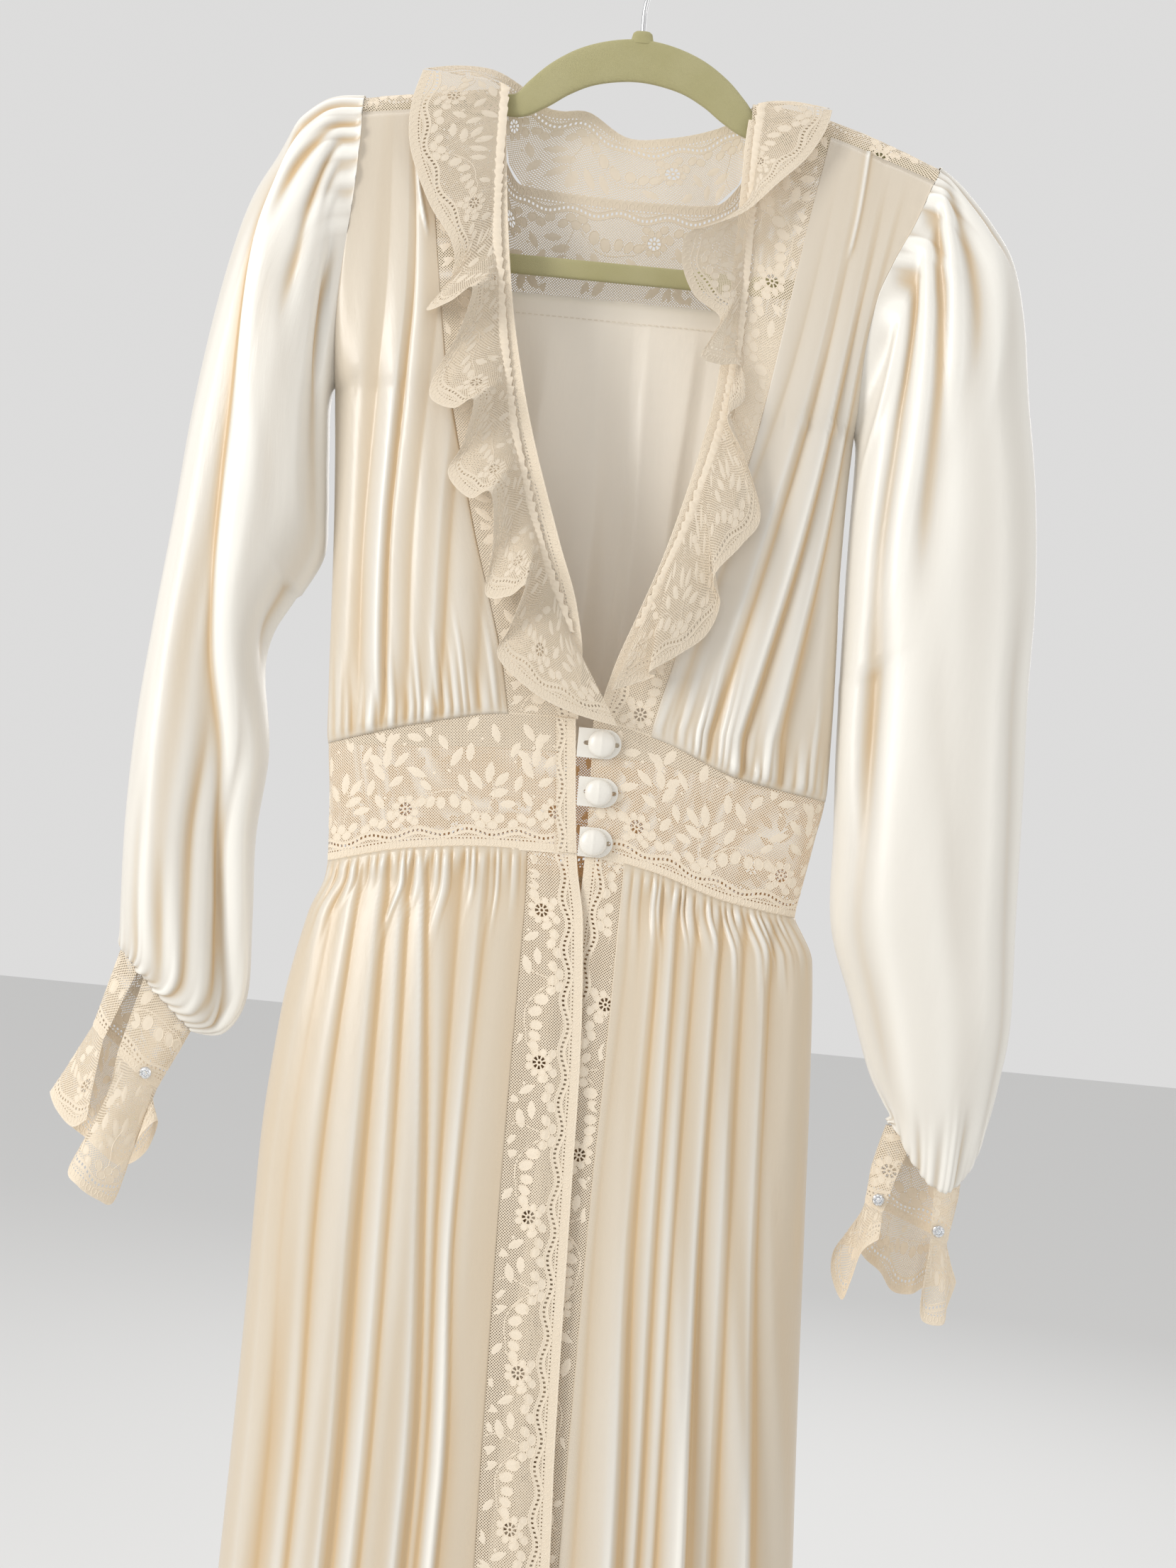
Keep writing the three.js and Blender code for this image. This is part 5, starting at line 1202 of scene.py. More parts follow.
for side in ("left", "right"):
    cloth = panel(
        front_surface, front_band[side], sides[side], shoulder_seam, waist["frontTop"], 121, 91, bodice_spread
    )
    relief = bodice_relief(cloth, BODICE_FOLDS[side], BODICE_PLEATS[side], side)
    x, z, across, down = grid_of(cloth)
    cloths["bodice_front_" + side] = cloth.raise_by(relief + tucks(TUCKS[side], x, z), -1)

    cloth = panel(
        front_surface, neck[side], front_band[side], shoulder_seam, waist["frontTop"], 17, 121, bodice_spread
    )
    x, z, across, down = grid_of(cloth)
    cloths["front_band_" + side] = cloth.raise_by(lap_lift(side, z) * (1 - across), -1)
    cloths["shoulder_strip_" + side] = shoulder_strip(side)

cloth = panel(
    back_surface, sides["left"], sides["right"], yoke_seam, waist["backTop"], 221, 71, bodice_spread
)
relief = bodice_relief(cloth, BODICE_FOLDS_BACK, BODICE_PLEATS_BACK, "back")
cloths["bodice_back"] = cloth.raise_by(relief, 1)

# ---- the yoke, the collar and the ruffles ----
yoke_cut = track(YOKE_TOP, "x", "z")
# half the width of the neck's part of the yoke, its two outer ends, and how far its lace passes the cut
YOKE = {"neck": 92, "left": 180.8, "right": 205, "past": 1.5}
# where the yoke's columns of points stand at its top edge
YOKE_COLUMNS = (
    -180.8, -150, -120, -94, -88, -83, -72, -40, 0, 40, 60, 75, 82, 88, 118, 150, 180, 205,
)


def yoke_top(x):
    inside = (x > YOKE_TOP[0]["x"]) & (x < YOKE_TOP[-1]["x"])
    return np.where(inside, np.minimum(yoke_cut(x) + YOKE["past"], shoulder_seam(x)), shoulder_seam(x))


def yoke_cloth(count_across, count_down):
    """The yoke: straight down at the neck, and out to the armholes beside it."""
    column = np.interp(even(count_across), even(len(YOKE_COLUMNS)), YOKE_COLUMNS)[None, :]
    down = even(count_down)
    z = mix(yoke_top(column), YOKE_Z, down[:, None])
    outermost = np.where(column < 0, YOKE["left"], YOKE["right"])
    share = np.maximum(0, (np.abs(column) - YOKE["neck"]) / (outermost - YOKE["neck"]))
    edge = np.where(column < 0, sides["left"](z), sides["right"](z))
    x = np.where(share > 0, mix(np.sign(column) * YOKE["neck"], edge, share), column)
    return Cloth(np.stack([x, back_surface(x, z), z], axis=2), even(count_across), down)


def collar_cloth(count_along, count_out):
    """The standing collar, from its straight seam on the yoke to its waving free edge."""
    along, out = even(count_along), even(count_out)
    grid = [
        mix(straight(COLLAR, "seam" + axis)(along)[None, :], swing(COLLAR, axis.lower())(along), out[:, None])
        for axis in ("X", "Y", "Z")
    ]
    return Cloth(np.stack(grid, axis=2), along, out)


cloths["back_yoke"] = yoke_cloth(137, 25)
cloths["collar_back"] = collar_cloth(181, 17)

RUFFLES = {"left": RUFFLE_LEFT, "right": RUFFLE_RIGHT}
# how far a ruffle's seam stands out from the bodice, and how far the ruffle swells between its edges
RUFFLE_FOOT = 1.7
RUFFLE_SWELL = 3


def ruffle_cloth(side, table, count_along, count_out):
    """A ruffle, from its seam down the front to its waving free edge."""
    along, out = even(count_along)[None, :], even(count_out)[:, None]
    z = swing(table, "seam")(along)
    x = track(RUFFLE_SEAM, "z", side)(z)
    foot = front_surface(x, z) - RUFFLE_FOOT - lap_lift(side, z)
    y = foot - swing(table, "lift")(along) * out - RUFFLE_SWELL * np.sin(np.pi * out)
    free_x, free_z = swing(table, "x")(along), swing(table, "z")(along)
    return Cloth(np.stack([mix(x, free_x, out), y, mix(z, free_z, out)], axis=2), along[0], out[:, 0])


for side, table in RUFFLES.items():
    cloths["ruffle_" + side] = ruffle_cloth(side, table, 321, 19)

# ---- the waistband, its edges laid under the satin ----
UNDER = 1.2


def waist_edges(face):
    """The waistband's upper and lower edge, a little under the satin on both sides."""
    return lambda x: waist[face + "Top"](x) + UNDER, lambda x: waist[face + "Bottom"](x) - UNDER


for side in ("left", "right"):
    cloth = panel(front_surface, closure[side], sides[side], *waist_edges("front"), 61, 31)
    x, z, across, down = grid_of(cloth)
    lift = LAP["lift"] * (1 - ease(0, 0.3, across)) if side == "left" else 0 * across
    cloths["waistband_front_" + side] = cloth.raise_by(lift + 0 * z, -1)
cloths["waistband_back"] = panel(back_surface, sides["left"], sides["right"], *waist_edges("back"), 121, 31)


# ---- the skirt ----
def sunk(x, z):
    """How far the right front sinks under the left one."""
    reach = LAP["reach"]
    return LAP["sink"] * ease(LAP["start"], LAP["full"], z) * (1 - ease(reach, reach + LAP["fade"], x))


def band_relief(across, down):
    """Small pleats under the waist and one long soft fold, flat at both long edges of the band."""
    window = np.sin(np.pi * across)
    pleat = np.sin(np.pi * BAND_PLEAT["count"] * across) ** 2 * (1 - ease(0.02, BAND_PLEAT["reach"], down))
    fold = np.exp(-(((across - BAND_PLEAT["at"]) / BAND_PLEAT["half"]) ** 2)) * ease(0.03, 0.3, down)
    return window * (BAND_PLEAT["height"] * pleat * ease(0, 0.02, down) + BAND_PLEAT["fold"] * fold)


for side in ("left", "right"):
    sink = sunk if side == "right" else lambda x, z: 0 * z
    cloth = panel(
        skirt_front, skirt_band[side], skirt[side], waist["frontBottom"], hem, 171, 91, skirt_spread
    )
    x, z, across, down = grid_of(cloth)
    relief = skirt_relief(cloth, SKIRT_FOLDS[side], SKIRT_PLEATS[side], side)
    cloth.raise_by(relief - sink(x, z), -1)
    cloth.relief = relief
    cloths["skirt_front_" + side] = cloth
    cloth = panel(
        skirt_front, closure[side], skirt_band[side], waist["frontBottom"], hem, 17, 161, skirt_spread
    )
    x, z, across, down = grid_of(cloth)
    lift = LAP["lift"] * (1 - across) if side == "left" else 0 * across
    cloths["skirt_band_" + side] = cloth.raise_by(lift - sink(x, z) + band_relief(across, down), -1)
cloth = panel(skirt_back, skirt["left"], skirt["right"], waist["backBottom"], hem, 281, 81, skirt_spread)
relief = skirt_relief(cloth, SKIRT_FOLDS_BACK, SKIRT_PLEATS_BACK, "back")
cloths["skirt_back"] = cloth.raise_by(relief, 1)


# ---- sleeves, cuffs and flounces ----
# a sleeve's end droops most so many degrees outside the middle of its front
DROOP_TURN = 12


def ring_points(table, place, angle):
    """Points on the rings of a sleeve or cuff, at a place along its rows and an angle round it."""
    row = {column: swing(table, column)(place) for column in table[0]}
    reach, turn = np.cos(angle), np.sin(angle)
    depth = np.where(turn > 0, row["front"], row["back"])
    x = (row["outX"] + row["inX"]) / 2 + reach * (row["outX"] - row["inX"]) / 2
    lean = np.maximum(0, np.sin(angle + math.radians(DROOP_TURN))) ** 1.5
    z = (row["outZ"] + row["inZ"]) / 2 + reach * (row["outZ"] - row["inZ"]) / 2 - row.get("droop", 0) * lean
    return x, -turn * depth, z


SLEEVES = {
    "left": (SLEEVE_LEFT, SLEEVE_FOLDS_LEFT, SLEEVE_CREASES_LEFT),
    "right": (SLEEVE_RIGHT, SLEEVE_FOLDS_RIGHT, SLEEVE_CREASES_RIGHT),
}


def armhole_ring(side, table, angle):
    """The seam of the sleeve's head on the armhole, as x, y and z at each angle."""
    top = table[0]["outZ"]
    middle = (top + ARMHOLE["bottom"]) / 2
    z = middle + np.cos(angle) * (top - middle)
    front, back = armhole_depth(side, "front", z), armhole_depth(side, "back", z)
    y = np.where(np.sin(angle) > 0, -1, 1) * np.where(np.sin(angle) > 0, front, back)
    return sides[side](z), y, z


# how much of its long folds a sleeve keeps beside its creases
FOLD_SHARE = 0.12


def sleeve_relief(side, fold_table, crease_table, around, place):
    """A sleeve's folds and creases with the gathers at both its ends, calm under the arm."""
    degrees, angle = around * 360, around * 2 * np.pi
    height = np.zeros(np.broadcast(around, place).shape)
    for fold in fold_table:
        distance = (degrees - mix(fold["head"], fold["wrist"], place)) / fold["width"]
        height += FOLD_SHARE * fold["height"] * np.exp(-(distance**2))
    window = ease(0.02, 0.3, place) * (1 - ease(0.78, 0.95, place))
    free = np.where(place < 0.5, 1 - 0.9 * np.maximum(0, -np.cos(angle)) ** 3, 1)
    outer = np.maximum(0, np.cos(angle)) ** 0.5
    head = gathers("sleeve_" + side, around, place, outer)
    wrist = gathers("wrist_" + side, around, 1 - place)
    seams = ease(0, 0.04, place) * (1 - ease(0.985, 1, place))
    return (height * window + creases(crease_table, degrees, place) * seams + head + wrist) * free


for side, (table, fold_table, crease_table) in SLEEVES.items():
    around = np.linspace(0, 1, 184, endpoint=False)[None, :]
    place = even(121)[:, None]
    angle = around * 2 * np.pi
    blend = 1 - ease(0, 1 / 16, place)
    rings = zip(ring_points(table, place, angle), armhole_ring(side, table, angle))
    points = [mix(free, fixed, blend) for free, fixed in rings]
    cloth = Cloth(np.stack(points, axis=2), around[0], place[:, 0], closed=True)
    relief = sleeve_relief(side, fold_table, crease_table, around, place)
    outward = cloth.points - cloth.points.mean(axis=1, keepdims=True)
    cloth.raise_by(relief * np.sign((cloth.normal * outward).sum(axis=2).mean()))
    cloth.relief = relief
    cloths["sleeve_" + side] = cloth

CUFFS = {
    "left": (
        rows(
            "outX outZ inX inZ front back",
            (-290, -725.2, -238, -776.5, 10, 8), (-297, -752, -247.5, -797, 11, 9),
            (-304, -779, -257, -817, 12, 9),
        ),
        {"middle": 68, "top": 5, "bottom": 14},
        FLOUNCE_LEFT,
    ),
    "right": (
        rows(
            "outX outZ inX inZ front back",
            (284.6, -801.4, 232.6, -794.4, 7.5, 7), (286, -834, 226, -821, 9, 9),
            (281, -870, 223.5, -848, 11, 10),
        ),
        {"middle": 92, "top": 12, "bottom": 36},
        FLOUNCE_RIGHT,
    ),
}
# how far a flounce swells out between its seam and its free edge
FLOUNCE_SWELL = 2


def cuff_turn(split, across, down):
    """The angle round a cuff, from one side of its split round the back to the other."""
    half = mix(split["top"], split["bottom"], down)
    return np.radians(mix(split["middle"] + half, split["middle"] + 360 - half, across))


for side, (rings, split, edge) in CUFFS.items():
    across, down = even(97)[None, :], even(25)[:, None]
    points = ring_points(rings, down, cuff_turn(split, across, down))
    cloths["cuff_" + side] = Cloth(np.stack(np.broadcast_arrays(*points), axis=2), across[0], down[:, 0])
    across, down = even(193)[None, :], even(15)[:, None]
    seam = ring_points(rings, 1 + 0 * across, cuff_turn(split, across, 1.0))
    tip = [swing(edge, axis)(across) for axis in ("x", "y", "z")]
    flounce = np.stack([mix(a, b, down) for a, b in zip(seam, tip)], axis=2)
    flounce[..., 1] += FLOUNCE_SWELL * np.sin(np.pi * down) * np.where(flounce[..., 1] > 0, 1, -1)
    cloths["flounce_" + side] = Cloth(flounce, across[0], down[:, 0])


# ---- lace ----
def tube_ring(points, closed, radius, rise):
    """A cord of diamond section along (s, t) points: its corners as (s, t, lift) and its faces."""
    points = np.asarray(points, float)
    if closed:
        along = np.roll(points, -1, axis=0) - np.roll(points, 1, axis=0)
    else:
        along = np.gradient(points, axis=0)
    side = np.stack([-along[:, 1], along[:, 0]], axis=1) / np.linalg.norm(along, axis=1, keepdims=True)
    level = np.zeros((len(points), 1))
    corners = np.stack(
        [
            np.hstack([points - side * radius, level]), np.hstack([points, level + rise]),
            np.hstack([points + side * radius, level]), np.hstack([points, level - rise]),
        ],
        axis=1,
    )
    count = len(points)
    here = np.arange(count if closed else count - 1)[:, None]
    there = (here + 1) % count
    turn = np.arange(4)[None, :]
    following = (turn + 1) % 4
    one = np.stack([here * 4 + turn, here * 4 + following, there * 4 + following], axis=2)
    two = np.stack([here * 4 + turn, there * 4 + following, there * 4 + turn], axis=2)
    return corners.reshape(-1, 3), np.vstack([one.reshape(-1, 3), two.reshape(-1, 3)])


def ellipse(row, count, scale=1.0):
    """Points round an oval of the lace chart."""
    turn = full_turn(count)
    lean = math.radians(row["angle"])
    long, wide = row["length"] / 2 * scale * np.cos(turn), row["width"] / 2 * scale * np.sin(turn)
    s = row["s"] + long * math.cos(lean) - wide * math.sin(lean)
    t = row["t"] + long * math.sin(lean) + wide * math.cos(lean)
    return np.stack([s, t], axis=1)


def petal(row, rise, pointed=False, scale=1.0):
    """A leaf or a filled oval, a shallow point on both sides of the net."""
    middle = np.array([row["s"], row["t"]])
    rim = ellipse(row, len(LEAF_PINCH), scale)
    if pointed:
        rim = mix(middle, rim, np.array(LEAF_PINCH)[:, None])
    count = len(rim)
    points = np.vstack([np.hstack([rim, np.zeros((count, 1))]), [[*middle, rise]], [[*middle, -rise]]])
    here = np.arange(count)
    there = (here + 1) % count
    front = np.stack([here, there, np.full(count, count)], axis=1)
    back = np.stack([there, here, np.full(count, count + 1)], axis=1)
    return points, np.vstack([front, back])


def smooth_line(table, count):
    """A smooth line through the rows of a table, for a cord on the lace."""
    return np.stack([swing(table, "s")(even(count)), swing(table, "t")(even(count))], axis=1)


def joined(parts):
    """One set of points and one of faces out of many."""
    points, faces, start = [], [], 0
    for part_points, part_faces in parts:
        points.append(part_points)
        faces.append(part_faces + start)
        start += len(part_points)
    return np.concatenate(points), np.concatenate(faces)


def lace_chart():
    """The raised work of one repeat: leaves, corded ovals, a flower, a scroll, two cords and the edge."""
    repeat, cord, rise = LACE["repeat"], LACE["cord"], LACE["rise"]
    filled = LEAF["rise"]
    parts = [petal(row, filled, True, LEAF["scale"]) for row in LACE_LEAVES]
    for row in LACE_OVALS:
        parts.append(petal(row, filled, scale=OVAL_SCALE))
        parts.append(tube_ring(ellipse(row, 8, OVAL_SCALE), True, cord, rise))
    for row in LACE_DOTS:
        parts.append(petal({**row, **DOT}, filled))
    flower = {"s": LACE["flower_s"], "t": LACE["flower_t"], "angle": 0, "length": 2, "width": 2}
    parts.append(tube_ring(ellipse(flower, 14, LACE["flower_r"]), True, cord, rise))
    parts.append(tube_ring(ellipse(flower, 7, 1.5), True, cord, rise))
    for turn in np.arange(FLOWER["petals"]) * 2 * math.pi / FLOWER["petals"] + math.pi / FLOWER["petals"]:
        reach = LACE["flower_r"] + 2
        row = {
            "s": flower["s"] + reach * math.cos(turn), "t": flower["t"] + reach * math.sin(turn),
            "angle": math.degrees(turn), **FLOWER_PETAL,
        }
        parts.append(petal(row, filled))
        parts.append(tube_ring(ellipse(row, 7), True, cord, rise))
    parts.append(tube_ring(smooth_line(LACE_SCROLL, 26), False, cord, rise))
    parts.append(tube_ring(smooth_line(LACE_STEM, 9), False, cord, rise))
    s = np.linspace(0, repeat, 41)
    wave = LACE["ladder"] + LACE["wave"] * np.sin(2 * np.pi * s / LACE["wavelength"])
    for offset in (-LACE["tape"], LACE["tape"]):
        parts.append(tube_ring(np.stack([s, wave + offset], axis=1), False, cord, rise))
    for i in range(int(repeat / LACE["ring_pitch"])):
        middle = {"s": (i + 0.5) * LACE["ring_pitch"]}
        parts.append(tube_ring(ellipse({**middle, **EDGE_RING}, 7), True, cord, rise))
        parts.append(petal({**middle, **PICOT}, rise))
    return joined(parts)


CHART_POINTS, CHART_FACES = lace_chart()
# how far the raised work stops short of a strip's two ends and its seam, and may pass its worked edge
CLEAR = {"ends": 0.6, "seam": 1, "edge": 0.5}


class Strip:
    """Lace cut from one long edging and sewn as a Cloth; edge is the side of the grid that is worked."""

    def __init__(self, cloth, edge, phase):
        self.cloth, self.edge, self.phase = cloth, edge, phase
        u, v = cloth.flat()
        if edge in ("top", "bottom"):
            row = 0 if edge == "top" else -1
            self.s = np.broadcast_to(u[row][None, :], u.shape) + phase
            self.t = v if edge == "top" else v[-1:] - v
            self.line, self.shares = u[row], cloth.across
            self.width = v[-1]
        else:
            column = 0 if edge == "start" else -1
            self.s = np.broadcast_to(v[:, column][:, None], v.shape) + phase
            self.t = u if edge == "start" else u[:, -1:] - u
            self.line, self.shares = v[:, column], cloth.down
            self.width = u[:, -1]

    def place(self, s, t, lift):
        along = np.interp(s - self.phase, self.line, self.shares)
        inward = t / np.interp(s - self.phase, self.line, self.width)
        if self.edge in ("bottom", "end"):
            inward = 1 - inward
        if self.edge in ("top", "bottom"):
            return self.cloth.at(along, inward, lift)
        return self.cloth.at(inward, along, lift)

    def motifs(self, name, material=thread):
        """The raised work of the repeats that fall on this strip, joined as one piece."""
        parts = []
        repeat = LACE["repeat"]
        first = math.floor(self.phase / repeat) - 1
        last = math.ceil((self.phase + self.line[-1]) / repeat) + 1
        for copy in range(first, last):
            chart = CHART_POINTS + [copy * repeat, 0, 0]
            local = chart[:, 0] - self.phase
            width = np.interp(local, self.line, self.width)
            along = (local > CLEAR["ends"]) & (local < self.line[-1] - CLEAR["ends"])
            inside = along & (chart[:, 1] < width - CLEAR["seam"]) & (chart[:, 1] > -CLEAR["edge"])
            kept = CHART_FACES[inside[CHART_FACES].all(axis=1)]
            if len(kept):
                used = np.unique(kept)
                parts.append((chart[used], np.searchsorted(used, kept)))
        flat, faces = joined(parts)
        placed = self.place(flat[:, 0], np.maximum(flat[:, 1], 0), flat[:, 2])
        return mesh_object(name, placed, [faces], flat[:, :2], material, smooth=False)


# where each strip's worked edge lies, and where its repeat begins
STRIPS = {
    "front_band_left": ("start", 0), "front_band_right": ("start", 40), "shoulder_strip_left": ("end", 20),
    "shoulder_strip_right": ("end", 60), "back_yoke": ("top", 12), "collar_back": ("bottom", 70),
    "ruffle_left": ("bottom", 30), "ruffle_right": ("bottom", 85), "waistband_front_left": ("bottom", 36),
    "waistband_front_right": ("bottom", 18), "waistband_back": ("bottom", 60),
    "skirt_band_left": ("start", 10), "skirt_band_right": ("start", 55),
    "cuff_left": ("bottom", 5), "cuff_right": ("bottom", 45),
    "flounce_left": ("bottom", 25), "flounce_right": ("bottom", 65),
}

# ---- the pieces of cloth as meshes ----
# the lace round the neck is painted darker, as painted shade, and the inner side of the waistband's back gets
# a painted warm shade
LACE_LOOKS = {"waistband_back": (net_shaded, thread_shaded)}
for name in ("collar_back", "ruffle_left", "ruffle_right", "back_yoke"):
    LACE_LOOKS[name] = (net_neck_painted_shade, thread_neck_painted_shade)
# the inner side of the bodice's back gets painted light, that of the skirt's back painted warm shade
SATIN_LOOKS = {"bodice_back": satin_inside_painted_light, "skirt_back": satin_shaded}
pieces, worked = {}, {}
for name, cloth in cloths.items():
    if name in PIECE_TONE_AND_PAINTED_LIGHT:
        shade = shading(cloth, cloth.relief) + PIECE_TONE_AND_PAINTED_LIGHT[name]
        material = SATIN_LOOKS.get(name, satin)
        piece = cloth_object(name + "_cloth", cloth, material, SATIN_THICKNESS, shade)
    else:
        strip = Strip(cloth, *STRIPS[name])
        ground, raised = LACE_LOOKS.get(name, (net, thread))
        piece = cloth_object(name + "_cloth", cloth, ground, uv=(strip.s, strip.t))
        worked[name] = [strip.motifs(name + "_work", raised)]
    pieces[name] = piece
    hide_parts(name)


# ---- buttons, loops and studs ----
TRIM_SHADE = 0.55


def lathe_points(profile, place, count):
    """A turned surface whose axis points to the front, from its radius and its depth towards the front."""
    turn = full_turn(count)
    points, index = [], []
    for radius, depth in profile:
        x, z = place[0] + radius * np.cos(turn), place[2] + radius * np.sin(turn)
        index.append(np.arange(count) + len(index) * count)
        points.append(np.stack([x, place[1] - depth + 0 * turn, z], axis=1))
    quads = []
    for low, high in zip(index[:-1], index[1:]):
        quads.append(np.stack([low, high, np.roll(high, -1), np.roll(low, -1)], axis=1))
    return np.concatenate(points), np.concatenate(quads), [index[0][None, :], index[-1][None, ::-1]]


def lathe(name, profile, place, material, count=48, smooth=True, pinch=None):
    points, quads, caps = lathe_points(profile, place, count)
    if pinch:
        aside = points[:, 0] - place[0]
        depth = place[1] - points[:, 1]
        fold = pinch["height"] * np.exp(-((aside / pinch["half"]) ** 2))
        points[:, 1] -= fold * ease(pinch["from"], pinch["to"], depth)
    uv = points[:, [0, 2]] - np.array([place[0], place[2]])
    shade = np.full(len(points), TRIM_SHADE)
    return mesh_object(name, points, [quads, *caps], uv, material, shade=shade, smooth=smooth)


BUTTON = {"radius": 9, "dome": 4.2, "foot": 4.2}
BUTTON_BACK = [(2.2, 0), (2.2, 2.6), (8, 2.7), (8.8, 3.3)]
# how far in front of the bodice's surface the backs of the buttons and loops lie
TRIM_OFF = 0.8
# the satin's fold over the middle of each button, between two depths
PINCH = {"height": 0.35, "half": 1.1, "from": 4.5, "to": 6.5}
BUTTON_PLACES = (("top", 18, -559), ("middle", 19, -591), ("bottom", 18.5, -624))
LOOP = {
    "half": 9.8, "strand": 5.4, "past": 13, "thickness": 1.4, "bevel": 0.45, "slot": 2.8, "slot_foot": 1.3,
}
TEARDROP = {"tip": 10, "length": 5, "half": 1.5}


def arc(x, z, radius, start, end, count=16):
    """Points along an arc, from one angle to another in degrees."""
    turn = np.radians(np.linspace(start, end, count))
    return [(x + radius * math.cos(a), z + radius * math.sin(a)) for a in turn]


def flat_piece(name, outlines, face, z, thickness, bevel, material):
    """A flat piece with holes and rounded edges, from outlines in x and z, its back at the depth face."""
    curve = bpy.data.curves.new(name + "_outline", "CURVE")
    curve.dimensions = "2D"
    curve.fill_mode = "BOTH"
    curve.extrude = thickness / 2 - bevel
    curve.bevel_depth = bevel
    curve.bevel_resolution = 2
    curve.offset = -bevel
    for outline in outlines:
        spline = curve.splines.new("POLY")
        spline.points.add(len(outline) - 1)
        spline.use_cyclic_u = True
        for point, (x, up) in zip(spline.points, outline):
            point.co = (x, up, 0, 1)
    holder = bpy.data.objects.new(name + "_outline", curve)
    mesh = bpy.data.meshes.new_from_object(holder)
    count = len(mesh.vertices)
    flat = np.zeros(count * 3, np.float32)
    mesh.vertices.foreach_get("co", flat)
    flat = flat.reshape(-1, 3)
    points = np.stack([flat[:, 0], face - thickness / 2 - flat[:, 2], flat[:, 1] + z], axis=1)
    groups = {}
    for polygon in mesh.polygons:
        groups.setdefault(len(polygon.vertices), []).append(tuple(polygon.vertices))
    bpy.data.objects.remove(holder)
    bpy.data.curves.remove(curve)
    bpy.data.meshes.remove(mesh)
    blocks = [np.array(block) for block in groups.values()]
    shade = np.full(count, TRIM_SHADE)
    return mesh_object(name, points, blocks, points[:, [0, 2]], material, shade=shade, smooth=False)


for name, x, z in BUTTON_PLACES:
    face = float(front_surface(np.array(x), np.array(z))) - TRIM_OFF
    turns = np.linspace(math.pi / 2, 0.05, 12)
    dome = [(BUTTON["radius"] * math.sin(a), BUTTON["foot"] + BUTTON["dome"] * math.cos(a)) for a in turns]
    profile = [*BUTTON_BACK, *dome]
    piece = lathe("button_" + name + "_covered", profile, (x, face, z), satin, pinch=PINCH)
    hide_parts("button_" + name)

    start = float(closure["left"](z - LOOP["half"])) + 2 * HALF_SEAM
    end = x + LOOP["past"] - LOOP["half"]
    outline = [(start, -LOOP["half"]), *arc(end, 0, LOOP["half"], -90, 90), (start, LOOP["half"])]
    slot_line = [
        *arc(x, 0, LOOP["slot"], -90, 90), *arc(start + LOOP["strand"], 0, LOOP["slot_foot"], 90, 270, 8),
    ]
    tip = x + TEARDROP["tip"]
    teardrop = [(tip - TEARDROP["length"], 0), *arc(tip, 0, TEARDROP["half"], -100, 100, 9)]
    piece = flat_piece(
        "loop_" + name + "_strap", [outline, slot_line, teardrop], face, z, LOOP["thickness"], LOOP["bevel"],
        satin,
    )
    pieces["loop_" + name] = piece
    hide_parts("loop_" + name)

STUDS = {
    "stud_left": ("left", -264, -806, 2.6), "stud_right_inner": ("right", 231, -844, 1.6),
    "stud_right_outer": ("right", 273, -861, 1.6),
}
SETTING = [(0.2, 0), (3.4, 0), (4.1, 0.7), (4, 1.1), (0.2, 1.3)]
# a stone's profile in shares of its radius and height, then a stud's middle stone and its petals
STONE = [(0.1, 0), (0.8, 0.1), (1, 0.55), (0.55, 1), (0.1, 1)]
STONE_SEAT = 0.9
MIDDLE_STONE = {"radius": 1.7, "height": 2.2}
PETAL_STONE = {"radius": 1.05, "height": 1.5, "reach": 2.85, "count": 7}
for name, (side, x, z, stand) in STUDS.items():
    ring = CUFFS[side][0][-1]
    share = (x - (ring["outX"] + ring["inX"]) / 2) / ((ring["outX"] - ring["inX"]) / 2)
    face = -ring["front"] * math.sqrt(1 - share * share) - stand
    lathe(name + "_setting", SETTING, (x, face, z), chrome, 24)
    spots = [(0, 0, MIDDLE_STONE)]
    for turn in range(PETAL_STONE["count"]):
        angle, reach = 2 * math.pi * turn / PETAL_STONE["count"], PETAL_STONE["reach"]
        spots.append((reach * math.cos(angle), reach * math.sin(angle), PETAL_STONE))
    points, quads, caps, count = [], [], [], 0
    for aside, up, size in spots:
        profile = [(r * size["radius"], STONE_SEAT + h * size["height"]) for r, h in STONE]
        part, faces, ends = lathe_points(profile, (x + aside, face, z + up), 8)
        points.append(part)
        quads.append(faces + count)
        caps.extend(end + count for end in ends)
        count += len(part)
    points = np.concatenate(points)
    blocks = [np.concatenate(quads), np.concatenate(caps)]
    piece = mesh_object(name + "_stones", points, blocks, points[:, [0, 2]], stone, smooth=False)
    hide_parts(name)


# ---- the hanger ----
def swept(name, middle, offsets, closed, material):
    """A section swept along a line in the x-z plane; offsets holds its (aside, y) at each point."""
    count, around = offsets.shape[:2]
    if closed:
        along = np.roll(middle, -1, axis=0) - np.roll(middle, 1, axis=0)
    else:
        along = np.gradient(middle, axis=0)
    along = along / np.linalg.norm(along, axis=1, keepdims=True)
    aside = np.stack([-along[:, 1], along[:, 0]], axis=1)
    flat = middle[:, None, :] + aside[:, None, :] * offsets[..., :1]
    points = np.stack([flat[..., 0], offsets[..., 1], flat[..., 1]], axis=2).reshape(-1, 3)
    index = np.arange(count * around).reshape(count, around)
    following = np.roll(index, -1, axis=0) if closed else index[1:]
    here = index if closed else index[:-1]
    quads = np.stack([here, np.roll(here, -1, axis=1), np.roll(following, -1, axis=1), following], axis=-1)
    quads = quads.reshape(-1, 4)
    blocks = [quads] if closed else [quads, index[:1, ::-1], index[-1:]]
    uv = np.stack([points[:, 0], points[:, 2]], axis=1)
    return mesh_object(name, points, blocks, uv, material)


